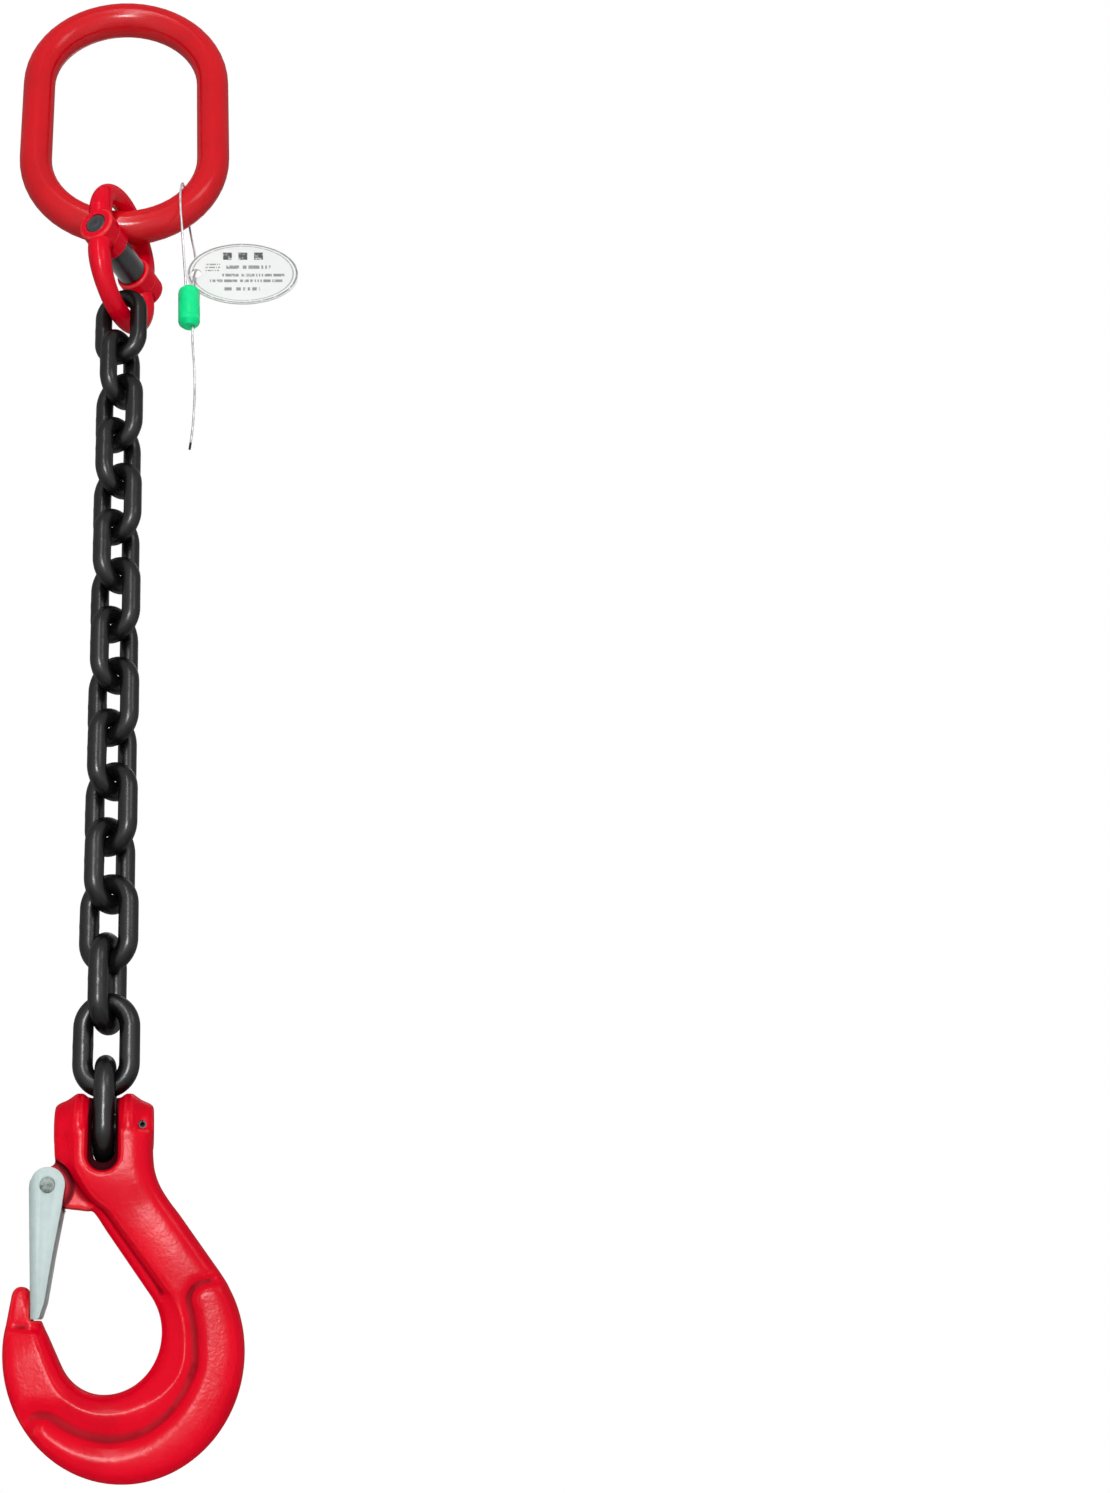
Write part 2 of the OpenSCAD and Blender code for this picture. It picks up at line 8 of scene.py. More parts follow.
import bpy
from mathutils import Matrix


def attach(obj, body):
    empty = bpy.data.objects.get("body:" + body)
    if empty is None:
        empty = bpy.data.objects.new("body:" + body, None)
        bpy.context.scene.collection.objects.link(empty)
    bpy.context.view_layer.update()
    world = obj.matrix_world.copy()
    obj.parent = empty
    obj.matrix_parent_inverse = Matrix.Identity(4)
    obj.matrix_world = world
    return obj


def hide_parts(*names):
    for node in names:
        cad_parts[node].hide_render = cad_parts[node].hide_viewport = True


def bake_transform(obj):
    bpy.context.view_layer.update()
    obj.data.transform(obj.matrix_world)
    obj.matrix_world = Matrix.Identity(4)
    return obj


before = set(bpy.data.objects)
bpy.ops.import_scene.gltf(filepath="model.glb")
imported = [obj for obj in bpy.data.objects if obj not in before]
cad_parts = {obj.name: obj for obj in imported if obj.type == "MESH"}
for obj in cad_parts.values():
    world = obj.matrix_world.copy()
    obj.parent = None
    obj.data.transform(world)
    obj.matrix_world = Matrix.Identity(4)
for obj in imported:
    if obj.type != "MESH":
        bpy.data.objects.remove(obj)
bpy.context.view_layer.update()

# %% Tools and one length unit
import math

import bmesh
import bpy
import numpy as np
from mathutils import Vector

MM = 0.001
scene = bpy.context.scene
scene.view_settings.view_transform = "Standard"

# %% [markdown]
# ## Where the eye stands
# The picture looks straight at the hook and up along the chain, so the upper pieces are seen from
# below. The lens stands a little over half a metre in front of the hook and leans up by 22
# degrees. The sling hangs at the left of the frame, and the lens shift puts it there without
# turning the view.

# %% Camera
def put(name, data):
    """A new object in the scene."""
    made = bpy.data.objects.new(name, data)
    scene.collection.objects.link(made)
    return made


frame_width, frame_height = 1110, 1493
focal_pixels, axis_column = 1454, 187
sensor, tilt = 36, 21.87
eye = put("eye", bpy.data.cameras.new("eye"))
scene.camera = eye
eye.data.sensor_width = sensor
eye.data.lens = sensor * focal_pixels / frame_height
eye.data.shift_x = (frame_width / 2 - axis_column) / frame_height
eye.data.clip_start = 0.01
eye.data.clip_end = 20
eye.location = (0.031, -0.561, -0.624)
eye.rotation_euler = (math.radians(90 + tilt), 0, 0)
print("lens", round(eye.data.lens, 1), "mm, shift", round(eye.data.shift_x, 3))

# %% [markdown]
# ## Surfaces from numbers
# Every new piece is a grid of points worked out with numpy: rings of points along a path. Joining
# each ring to the next gives a skin of quads, and a fan closes each end. Whole arrays are worked
# out at once, which is quick and keeps the formula in sight.

# %% A skin through rings
def skin(rings, closed=False):
    """Quads between neighbouring rings; an open skin gets a fan of triangles at each end, round the
    mean of its end ring. Rings run right-handed about the way they travel, so faces look out."""
    count, around = rings.shape[:2]
    index = np.arange(count * around).reshape(count, around)
    here = index if closed else index[:-1]
    ahead = np.roll(index, -1, 0) if closed else index[1:]
    quads = np.stack([here, np.roll(here, -1, 1), np.roll(ahead, -1, 1), ahead], -1).reshape(-1, 4)
    points = rings.reshape(-1, 3)
    faces = quads.tolist()
    if not closed:
        ends = rings[[0, -1]].mean(1)
        points = np.vstack([points, ends])
        for middle, ring in [(count * around, index[0, ::-1]), (count * around + 1, index[-1])]:
            faces += np.stack([np.full(around, middle), ring, np.roll(ring, -1)], -1).tolist()
    return points, faces


def smooth_shading(made, angle=35):
    """Smooth faces that stay crisp where two of them meet at more than the angle."""
    made.data.shade_smooth()
    made.data.set_sharp_from_angle(angle=math.radians(angle))
    return made


def piece(name, shapes):
    """One mesh object at the origin from a list of (points, faces), in metres."""
    points, faces, start = [], [], 0
    for shape_points, shape_faces in shapes:
        points.append(shape_points)
        faces += [[i + start for i in face] for face in shape_faces]
        start += len(shape_points)
    mesh = bpy.data.meshes.new(name)
    mesh.from_pydata(np.vstack(points).tolist(), [], faces)
    return smooth_shading(put(name, mesh), 40)


def angles(sides):
    """Even steps round a circle, in radians."""
    return np.linspace(0, 2 * np.pi, sides, endpoint=False)


def along(path, radius, sides, reference, closed=False):
    """Tube: point = path + radius * (cos a * side + sin a * up), where side is the path's direction
    crossed with the reference direction and up completes the right-handed three. The radius may
    change with the ring and the angle."""
    if closed:
        ahead = np.roll(path, -1, 0) - np.roll(path, 1, 0)
    else:
        ahead = np.gradient(path, axis=0)
    ahead = ahead / np.linalg.norm(ahead, axis=1, keepdims=True)
    side = np.cross(ahead, reference)
    side /= np.linalg.norm(side, axis=1, keepdims=True)
    up = np.cross(ahead, side)
    angle = angles(sides)[None, :]
    radius = np.broadcast_to(radius, (len(path), sides))[..., None]
    return path[:, None] + radius * (np.cos(angle)[..., None] * side[:, None]
                                     + np.sin(angle)[..., None] * up[:, None])


def spline(points, steps):
    """Smooth curve through every point: the Catmull-Rom cubic between each pair, with the end
    points counted twice."""
    padded = np.vstack([points[:1], points, points[-1:]])
    a, b, c, d = (padded[k:len(padded) - 3 + k, None] for k in range(4))
    s = (np.arange(steps) / steps)[None, :, None]
    curve = 0.5 * (2 * b + (c - a) * s + (2 * a - 5 * b + 4 * c - d) * s ** 2
                   + (3 * b - a - 3 * c + d) * s ** 3)
    return np.vstack([curve.reshape(-1, points.shape[1]), points[-1:]])


# %% [markdown]
# ## The seal wire
# A thin stranded wire comes up out of the barrel seal, goes over the master link's bar, takes the
# tag on its way down and passes through the seal again, with a cut tail left over. It is a free
# cord, so it is made first, and its points are the same round numbers that the solid follows.

# %% Wire
wire_route = np.array([
    [30.4, 0, -176], [30.4, 0, -170], [30.4, 0, -164], [30.2, -1, -158], [29.4, -4.5, -147],
    [28.6, -8, -135], [28, -9.6, -126], [27.8, -9.6, -118], [28.1, -8.6, -110.6],
    [28.8, -5.2, -105], [29.5, 0, -102.8], [30.3, 5, -104], [31, 8.4, -108.2], [31.8, 9.6, -115],
    [33, 9.8, -124], [34.6, 10.2, -133], [35.5, 10.2, -141.5], [35.6, 8.9, -146.8],
    [35.5, 6.5, -148.6], [35.2, 4.1, -150.4], [34.5, 1.9, -155], [33.9, 0.4, -160],
    [33.6, 0, -164], [33.6, 0, -171], [33.6, 0, -179], [33.6, 0, -187], [33.7, 0.2, -196],
    [34.3, 0.5, -207], [34.6, 0.6, -219], [34.3, 0.5, -231], [33.5, 0.1, -243],
    [32.2, -0.4, -254]]) * MM
wire_path = spline(wire_route, 30)
wire_run = np.concatenate([[0], np.cumsum(np.linalg.norm(np.diff(wire_path, axis=0), axis=1))])
wire_radius, wire_twist, wire_sides = 0.6, 3.2, 12
strand_angle = angles(wire_sides)[None, :] - 2 * np.pi * wire_run[:, None] / (wire_twist * MM)
strand_radius = wire_radius * MM * (0.86 + 0.14 * np.abs(np.cos(1.5 * strand_angle)))
seal_wire = piece("stranded_wire", [skin(along(wire_path, strand_radius, wire_sides, [1, 0, 0]))])
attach(seal_wire, "seal")
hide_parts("seal_wire")

# %% [markdown]
# ## Round bar, bent
# The master link and the chain links are round steel bent into a closed oval. One function gives
# the middle line of any of them: two half circles joined by straights. A chain link is closed by
# a weld half-way along one side, which leaves a low swelling there. The master link's is flush.

# %% Links
def oval(inside_length, inside_width, bar, arc_points=28, side_points=14):
    """Middle line of a link in the XZ plane: half circles of radius (inside width + bar) / 2 about
    +-(inside length - inside width) / 2, and straights between them, counter-clockwise from +X."""
    bend = (inside_width + bar) / 2
    rise = (inside_length - inside_width) / 2
    turn = np.linspace(0, np.pi, arc_points)
    level = np.linspace(-rise, rise, side_points + 2)[1:-1]
    top = np.stack([bend * np.cos(turn), 0 * turn, rise + bend * np.sin(turn)], 1)
    down = np.stack([0 * level - bend, 0 * level, -level], 1)
    up = np.stack([0 * level + bend, 0 * level, level], 1)
    bottom = -top * [1, 0, 1]
    return np.vstack([top, down, bottom, up]) * MM


def turned(points, yaw, level):
    """Points turned about Z by an angle in degrees and moved to a level in millimetres."""
    c, s = math.cos(math.radians(yaw)), math.sin(math.radians(yaw))
    return points @ np.array([[c, s, 0], [-s, c, 0], [0, 0, 1]]) + [0, 0, level * MM]


def link_shape(inside_length, inside_width, bar, sides, weld=0.0):
    """Tube on the oval whose radius swells by the weld's height in a narrow bell on the -X side."""
    line = oval(inside_length, inside_width, bar)
    bell = weld * np.exp(-(line[:, 2] / (0.16 * bar * MM)) ** 2) * (line[:, 0] < 0)
    radius = (bar / 2 * MM * (1 + bell))[:, None]
    return skin(along(line, radius, sides, [0, 1, 0], closed=True), closed=True)


master_length, master_width, master_bar = 120, 72, 16
points, faces = link_shape(master_length, master_width, master_bar, sides=48)
master = piece("master_bar", [(turned(points, 0, -master_length / 2), faces)])
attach(master, "master")
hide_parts("master_link")

# Neighbours stand square to each other, with a little twist in the lowest four and the top two
links, chain_pitch, first_link_z = 16, 24, -186.425
link_length, link_width, link_bar, weld_share = 24.25, 10.4, 8, 0.022
low_twist, top_twist = 10, 7.5
points, faces = link_shape(link_length, link_width, link_bar, sides=32, weld=weld_share)
link_pieces = []
for n in range(1, links + 1):
    below = links - n
    yaw = (90 if below % 2 == 0 else 0) - low_twist * min(below, 4) + top_twist * max(3 - n, 0)
    link_z = first_link_z - chain_pitch * (n - 1)
    link = piece(f"round_link_{n:02d}", [(turned(points, yaw, link_z), faces)])
    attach(link, f"link_{n:02d}")
    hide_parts(f"chain_link_{n:02d}")
    link_pieces.append(link)
print("links:", len(link_pieces), "of", len(link_pieces[0].data.polygons), "faces each")

# %% [markdown]
# ## Forged shapes
# A forging has no sharp edges: its faces run into each other in small rounds. The shapes are put
# together from closed skins that overlap, then a fine voxel remesh melts them into one and a few
# rounds of smoothing soften every edge. Machined cuts, such as bores, come last and stay crisp.

# %% Helpers for forgings
def settle(made):
    """The mesh with its modifiers worked in, so that the next step starts from plain points."""
    graph = bpy.context.evaluated_depsgraph_get()
    settled = bpy.data.meshes.new_from_object(made.evaluated_get(graph))
    made.modifiers.clear()
    old = made.data
    made.data = settled
    settled.name = made.name
    bpy.data.meshes.remove(old)


def melt(made, voxel, rounds=4):
    """One closed skin on a voxel grid of that size, then that many rounds of smoothing."""
    remesh = made.modifiers.new("melt", "REMESH")
    remesh.mode = "VOXEL"
    remesh.voxel_size = voxel * MM
    soften = made.modifiers.new("soften", "SMOOTH")
    soften.factor = 0.5
    soften.iterations = rounds
    settle(made)


def cut(made, shapes):
    """The piece less a list of closed skins."""
    for shape in shapes:
        cutter = piece("cutter", [shape])
        boolean = made.modifiers.new("cut", "BOOLEAN")
        boolean.operation = "DIFFERENCE"
        boolean.solver = "EXACT"
        boolean.object = cutter
        settle(made)
        bpy.data.objects.remove(cutter)


def prism(outline, low, high):
    """Closed skin on an outline in [x, z], from one y to another, all in millimetres."""
    outline = np.asarray(outline, float)
    x, z = outline.T
    if np.sum(x * np.roll(z, -1) - z * np.roll(x, -1)) > 0:
        outline = outline[::-1]
    ring = np.stack([outline[:, 0], 0 * outline[:, 0], outline[:, 1]], 1)
    return skin(np.stack([ring + [0, low, 0], ring + [0, high, 0]]) * MM)


def round_prism(x, z, radius, low, high, sides=64):
    """Cylinder along Y: x = middle + radius * cos a, and z = middle + radius * sin a."""
    angle = angles(sides)
    return prism(np.stack([x + radius * np.cos(angle), z + radius * np.sin(angle)], 1), low, high)


def turned_x(profile, sides=64, closed=False):
    """Surface of revolution about X through [x, radius]: y = radius * cos a, z = radius * sin a. An
    open profile has x rising, and a closed one goes once round the section of a ring."""
    profile, angle = np.asarray(profile, float), angles(sides)
    x = np.broadcast_to(profile[:, :1], (len(profile), sides))
    return skin(np.stack([x, profile[:, 1:] * np.cos(angle), profile[:, 1:] * np.sin(angle)], -1)
                * MM, closed)


def both_sides(right):
    """A whole profile of [x, radius] from its right half: the mirror image, then the half."""
    return [[-x, radius] for x, radius in right[::-1]] + right


ALONG_X, ALONG_Y, UPRIGHT = [0, 1, 2], [2, 0, 1], [1, 2, 0]


def moved(shape, offset, axes=ALONG_X):
    """A shape made along X, laid along Y or stood up by the order of its axes, then shifted by
    millimetres."""
    return shape[0][:, axes] + np.asarray(offset) * MM, shape[1]


# %% [markdown]
# ## The hook
# Half of the hook's section is a list of half thicknesses between its inner and outer edge, and it
# changes on the way from the clevis, down the slanting shank, round the bowl and up the nose. A
# raised crescent lies round the back of the bowl. Its height is worked out from the distance, in
# millimetres, to its own rounded border, so that it rises in one soft step behind a shallow groove.

# %% Hook stations
pin_level, reach, bowl_depth = -553.3, 92, 28
bowl_radius, nose_radius, back_radius = 20.5, 17, 43
bowl_centre = np.array([1.5, -reach + bowl_radius])
nose_centre = np.array([1.5, -reach + nose_radius])
back_centre = np.array([8.5, -reach - bowl_depth + back_radius])
slant, bowl_start, bowl_sweep = 36.5, 30, 184
shank_up = np.array([-math.sin(math.radians(slant)), math.cos(math.radians(slant))])


def arc(centre, radius, degrees):
    """Points at these angles on a circle, [x, z]."""
    angle = np.radians(np.asarray(degrees, float))
    return centre + radius * np.stack([np.cos(angle), np.sin(angle)], -1)


neck_inner = [[-18.2, -2], [-18.2, -8], [-17.3, -14.5], [-13.7, -20.5], [-9.3, -26]]
neck_outer = [[18.2, -2], [18.2, -8], [18.9, -15], [20.9, -21], [24.3, -26.4]]
shank_share = np.array([4, 3, 2, 1])[:, None] / 4
shank_inner = arc(bowl_centre, bowl_radius, [slant]) + 36 * shank_share * shank_up
shank_outer = arc(back_centre, back_radius, [slant]) + 25 * shank_share * shank_up
bowl_turn = np.concatenate([[slant, slant - 5, bowl_start],
                            bowl_start - bowl_sweep * np.arange(1, 21) / 20])
bowl_inner = np.where((bowl_turn >= -90)[:, None], arc(bowl_centre, bowl_radius, bowl_turn),
                      arc(nose_centre, nose_radius, bowl_turn))
bowl_outer = arc(back_centre, back_radius, bowl_turn)
nose_share = np.array([0.2, 0.4, 0.6, 0.8])
tip, tip_half, tip_rise = np.array([-28.7, -reach + 32]), 3.5, 4
nose_start = bowl_inner[-1]
nose_inner = nose_start + nose_share[:, None] * (tip + [tip_half, 0] - nose_start)
nose_outer = arc(back_centre, back_radius, bowl_start - bowl_sweep - 49 * nose_share)
tip_turn = np.radians([0, 25, 50, 72])
tip_side = np.stack([tip_half * np.cos(tip_turn), tip_rise * np.sin(tip_turn)], 1)
tip_inner, tip_outer = tip + tip_side, tip + tip_side * [-1, 1]
inner = np.vstack([neck_inner, shank_inner, bowl_inner, nose_inner, tip_inner])
outer = np.vstack([neck_outer, shank_outer, bowl_outer, nose_outer, tip_outer])
print("hook stations:", len(inner))

# %% Hook sections
# Columns: station, inner edge, strip behind it, flank's share, face, outer edge, face's crown, all
# but the station and the share as half thicknesses in millimetres
sections = np.array([
    [0, 7, 9, 0.22, 12.1, 7, 0], [1, 7.3, 9.4, 0.22, 12.4, 7.3, 0],
    [2, 5, 8, 0.21, 12.1, 6, 0], [3, 2.6, 5, 0.19, 11.4, 5, 0.3],
    [4, 2.6, 5, 0.19, 10.2, 4.7, 0.6], [5, 2.6, 5, 0.2, 9.8, 4.4, 0.7],
    [8, 2.6, 5, 0.24, 9.4, 4, 0.6], [9, 2.7, 5, 0.25, 9.3, 3.8, 0.4],
    [10, 3.4, 6.3, 0.26, 9.3, 3.8, 0.2], [12, 3.6, 6.7, 0.26, 9.2, 4, 0],
    [14.5, 4, 7.2, 0.27, 9.1, 4, 0], [17, 4, 7.3, 0.3, 9.1, 4, 0],
    [19.2, 4, 7.4, 0.25, 9.1, 4, 0], [21, 4.2, 7.5, 0.19, 9.0, 4, 0],
    [24, 4.2, 7.5, 0.18, 9.0, 4, 0], [28, 4.2, 7.5, 0.2, 9.0, 4, 0],
    [29, 4.2, 7.5, 0.2, 9.0, 4, 0], [33, 4, 7, 0.2, 8.5, 3.8, 0],
    [35, 4, 5.6, 0.24, 6.4, 3.4, 0], [36, 3.6, 5.1, 0.26, 5.8, 3.2, 0],
    [39, 1.6, 2.6, 0.26, 3.2, 1.6, 0]])
per_step = 8
station = np.arange((len(inner) - 1) * per_step + 1) / per_step
inner, outer = spline(inner, per_step), spline(outer, per_step)
edge, strip, flank, face, end, crown = (
    np.interp(station, sections[:, 0], sections[:, k])[:, None] for k in range(1, 7))
depth = np.linalg.norm(outer - inner, axis=1)[:, None]
middle = (inner + outer) / 2
run = np.concatenate([[0], np.cumsum(np.linalg.norm(np.diff(middle, axis=0), axis=1))])[:, None]

across = np.linspace(0, 1, 96)[None, :]
knots = [(0 * flank, edge), (0.3 * flank, edge + 0.78 * (strip - edge)), (0.5 * flank, strip),
         (0.85 * flank, strip + 0.6 * (face - strip)), (flank, face), (0 * flank + 1, face)]
half = np.zeros((len(station), across.shape[1]))
for (left, low), (right, high) in zip(knots[:-1], knots[1:]):
    inside = (across >= left) & (across <= right)
    half = np.where(inside, low + (high - low) * (across - left) / (right - left + 1e-9), half)
fall = np.clip((across - 0.72) / 0.28, 0, 1)
half = np.where(fall > 0, end + (face - end) * np.sqrt(1 - fall ** 3), half)
from_crest = (across - flank) / (1 - flank)
half = half + crown * 4 * np.clip(from_crest * (1 - from_crest), 0, 1)


# %% Rounding the ridges
def blurred(grid, spread, rows_out=9):
    """Each row averaged with its neighbours by the weight exp(-distance^2 / (2 spread^2)), and the
    rows carried on past both ends by a half turn about the end value."""
    weight = np.exp(-0.5 * (np.arange(-rows_out, rows_out + 1) / spread) ** 2)
    padded = np.pad(grid, ((rows_out, rows_out), (0, 0)), mode="reflect", reflect_type="odd")
    return sum(w * padded[k:k + len(grid)] for k, w in enumerate(weight / weight.sum()))


half = blurred(blurred(half, 3.5).T, 1.7).T


# %% Pad and nose
def ease(value, low, high):
    """0 below one value, 1 above the other, and 3 t^2 - 2 t^3 of the way between."""
    t = np.clip((value - low) / (high - low), 0, 1)
    return t * t * (3 - 2 * t)


# The pad's border in millimetres from the inner edge, by station, and across at both of its ends
pad_start, pad_end, pad_height, pad_corner, valley_depth = 10.6, 29.5, 1.0, 5.0, 1.1
border = np.interp(station, [11, 13, 14.6, 16, 17.5, 19.6, 22, 24, 26.3, 28, 29.5],
                   [13.3, 13.2, 13.8, 15.2, 15.4, 15.9, 16.2, 15.8, 14.8, 14.4, 14.8])[:, None]
from_side = across * depth - border
from_ends = np.minimum(run - np.interp(pad_start, station, run[:, 0]),
                       np.interp(pad_end, station, run[:, 0]) - run)
to_border = np.where((from_side < pad_corner) & (from_ends < pad_corner),
                     pad_corner - np.hypot(pad_corner - from_side, pad_corner - from_ends),
                     np.minimum(np.minimum(from_side, from_ends), pad_corner))
rise = pad_height * ease(to_border, -1.4, 1.6)

# The valley before the pad is wider away from the pad's ends, and wider and deeper in its low half
low_half = ease(station[:, None], 19, 25)
trough = 1.5 + 1.5 * ease(from_ends, 0, 8) + 1.2 * low_half
valley = -valley_depth * np.exp(-((to_border + 1.9) / trough) ** 2)
valley = valley * ease(across, flank, flank + 0.06) * (1 + 0.7 * low_half)
fade = np.clip((1 - across) / 0.12, 0, 1)
half = half + (rise + valley) * fade

# A groove runs down the shank's inner flank and ends where the bowl begins
groove_depth, groove_width = 0.9, 1.0
on_shank = ease(station, 1.5, 3)[:, None] * (1 - ease(station, 8.6, 9.6)[:, None])
from_groove = (across - 0.62 * flank) * depth
half = half - groove_depth * on_shank * np.exp(-(from_groove / groove_width) ** 2)

# The nose is relieved beyond a slanting ledge just below the latch's seat, with a line at its foot
slanted = station[:, None] - 0.09 * across * depth
half = half - 0.7 * ease(slanted, 33.2, 33.6) * ease(-station[:, None], -38, -35)
half = half - 0.6 * np.exp(-((slanted - 33.75) / 0.2) ** 2) * (1 - ease(across, 0.7, 0.9))

between = inner[:, None] + across[..., None] * (outer - inner)[:, None]
front = np.stack([between[..., 0], half, between[..., 1]], -1)
back = (front * [1, -1, 1])[:, ::-1]
hook_skin = skin(np.concatenate([front, back], 1) * MM)
print("raised pad on", int((rise > 0.5).sum()), "of", rise.size, "points")

# %% Clevis ears, lug and cuts
ear_radius, ear_half = 12.5, 18.5
latch_x, latch_z, lug_half, recess_radius, rivet_hole = -20, -21.5, 5, 9.2, 2.05
pin_radius, bore_radius = 5, 5.05
retainer_x, retainer_radius = 14.5, 1.5
seat_level = -reach + 24.45
through = 25


def in_hook(shapes):
    """Shapes drawn about the middle of the load pin, moved to their place on the sling."""
    return [moved(shape, [0, 0, pin_level]) for shape in shapes]


def clevis_slot():
    """The slot for the last link, in rings along Y. At each y its walls stand w from the middle and
    end in half a circle: x = w * cos a, z = low + w * (1 + sin a). It widens to both faces."""
    foot = np.radians(np.linspace(180, 360, 33))
    rings = []
    for y, w, low in [(-16, 9.4, -20.4), (-9.5, 5.2, -16), (-7.5, 4.4, -13.4), (0, 4.4, -14.1),
                      (7.5, 4.4, -13.4), (9.5, 5.2, -16), (16, 9.4, -20.4)]:
        x = np.concatenate([[w, w, -w, -w], w * np.cos(foot)])
        z = np.concatenate([[5, 20, 20, 5], low + w * (1 + np.sin(foot))])
        rings.append(np.stack([x, 0 * x + y, z], 1))
    return skin(np.stack(rings)[:, ::-1] * MM)


ears = turned_x(both_sides([[x, ear_radius - drop] for x, drop in
                            [(6, 1.6), (8, 0), (10.5, 0), (13.9, 2.4), (16.9, 3.6),
                             (ear_half, 4.8)]]), sides=96)
lug = [round_prism(latch_x, latch_z, 5.2, -lug_half, lug_half),
       round_prism(-16, -20, 6.45, -lug_half, lug_half),
       prism([[-17.5, -10.5], [-10.5, -10.5], [0, -27.5], [-5, -30], [-15, -28.9],
              [-19, -26.7]], -lug_half, lug_half)]
seat = prism([[-25, seat_level], [-12, seat_level], [-12, seat_level + 16],
              [-25.91, seat_level + 16]], -through, through)
recess = [round_prism(latch_x, latch_z, recess_radius, low, high, 96)
          for low, high in [(-through, -lug_half), (lug_half, through)]]
bores = [turned_x([[-through, bore_radius], [through, bore_radius]]),
         round_prism(retainer_x, 0, retainer_radius, -through, through, 48),
         round_prism(latch_x, latch_z, rivet_hole, -through, through, 48)]
hook_forging = piece("hook_forging", in_hook([hook_skin, ears] + lug))
melt(hook_forging, 0.5)
cut(hook_forging, in_hook([clevis_slot(), seat] + recess))
melt(hook_forging, 0.5)
cut(hook_forging, in_hook(bores))
smooth_shading(hook_forging)
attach(hook_forging, "hook")
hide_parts("hook_body")
print("hook:", len(hook_forging.data.polygons), "faces")

# %% [markdown]
# ## The coupling link
# The coupling is two equal forgings on one pin, each a bow with an eye at both ends. The bow's
# section is an ellipse that is broad at the eyes and slimmer at the crown. The same melting step
# rounds it, and the machined slots and the bore come after.

# %% Coupling halves
pin_gap, eye_w, bush_half, eye_radius = 0.3, 8.4, 10, 8.5
inner_eye = bush_half + pin_gap
eyes_end = inner_eye + 2 * eye_w + pin_gap
coupling_yaw, coupling_level = 65, -146.8


def in_coupling(shape, lower=False):
    """From the coupling's own frame, with its pin along X, to its place on the sling."""
    points, faces = shape
    points = points * [-1, 1, -1] if lower else points
    return turned(points, coupling_yaw, coupling_level), faces


def bow_skin(rings=88, sides=40):
    """Leg, crown and leg. A leg's ring moves from the middle of its eyes, share 0, to the crown's
    foot, share 1. A crown's ring turns through 180 degrees about the bow's centre."""
    share = np.linspace(0, 1, 10)[:-1, None]
    half_eye, foot, inside = (eyes_end - inner_eye) / 2 - 0.4, 5.8, 17
    eye_middle, level = (inner_eye + eyes_end) / 2, 10.75
    leg_half = half_eye + (foot - half_eye) * share
    leg_x = eye_middle + (inside + foot - eye_middle) * share
    leg = np.hstack([leg_x, level * share, leg_half, 5.3 + 0.6 * (1 - share), 0 * share])
    turn = np.linspace(0, np.pi, rings)[:, None]
    swell = np.abs(np.cos(turn)) ** 5
    crown_half = 5 + 0.8 * swell
    crown = np.hstack([(inside + crown_half) * np.cos(turn),
                       level + (inside + crown_half) * np.sin(turn),
                       crown_half, 4.5 + 0.8 * swell, turn])
    other = leg[::-1] * [-1, 1, 1, 1, 1] + [0, 0, 0, 0, np.pi]
    x, z, a, b, turn = np.vstack([leg, crown, other]).T[:, :, None]
    angle = angles(sides)[None, :]
    inward = a * np.cos(angle)
    return skin(np.stack([x - inward * np.cos(turn), -b * np.sin(angle),
                          z - inward * np.sin(turn)], -1) * MM)


def coupling_half(name, body, node, lower):
    """One forging: bow and eyes melted together, then the slots and the bore cut."""
    eyes = [turned_x([[x0, eye_radius - 0.6], [x0 + 0.7, eye_radius], [x1 - 0.7, eye_radius],
                      [x1, eye_radius - 0.6]])
            for x0, x1 in [(inner_eye, eyes_end), (-eyes_end, -inner_eye)]]
    made = piece(name, [in_coupling(shape, lower) for shape in [bow_skin()] + eyes])
    melt(made, 0.42)
    clear, past = eye_radius + pin_gap, eyes_end + 1
    cuts = [(-inner_eye - eye_w - pin_gap, -inner_eye + 1, clear),
            (inner_eye + eye_w, past, clear), (-past, past, bore_radius)]
    cut(made, [in_coupling(turned_x([[x0, radius], [x1, radius]]), lower)
               for x0, x1, radius in cuts])
    smooth_shading(made)
    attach(made, body)
    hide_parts(node)
    print(name, len(made.data.polygons), "faces")
    return made


upper_half = coupling_half("upper_forging", "coupling_upper", "coupling_upper_half", False)
lower_half = coupling_half("lower_forging", "coupling_lower", "coupling_lower_half", True)

# %% [markdown]
# ## Pins and bush
# The pins are plain turned steel with a small chamfer at each end. The retaining pin is a strip
# rolled into a tube that doesn't quite close, so its section is carried round most of a circle.

# %% Pins
def dress(made, body, node):
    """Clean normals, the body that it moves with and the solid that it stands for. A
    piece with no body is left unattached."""
    clean = bmesh.new()
    clean.from_mesh(made.data)
    bmesh.ops.remove_doubles(clean, verts=clean.verts, dist=1e-7)
    bmesh.ops.recalc_face_normals(clean, faces=clean.faces)
    clean.to_mesh(made.data)
    clean.free()
    smooth_shading(made)
    if body:
        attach(made, body)
    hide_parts(*([node] if isinstance(node, str) else node))
    return made


def pin_profile(half, radius, chamfer=0.7, dimple=1.6):
    """Profile of a pin with chamfered ends and a shallow centre mark in each."""
    return both_sides([[half - chamfer, radius], [half - chamfer * 0.4, radius - chamfer * 0.35],
                       [half, radius - chamfer], [half, dimple], [half - 0.8, 0.15]])


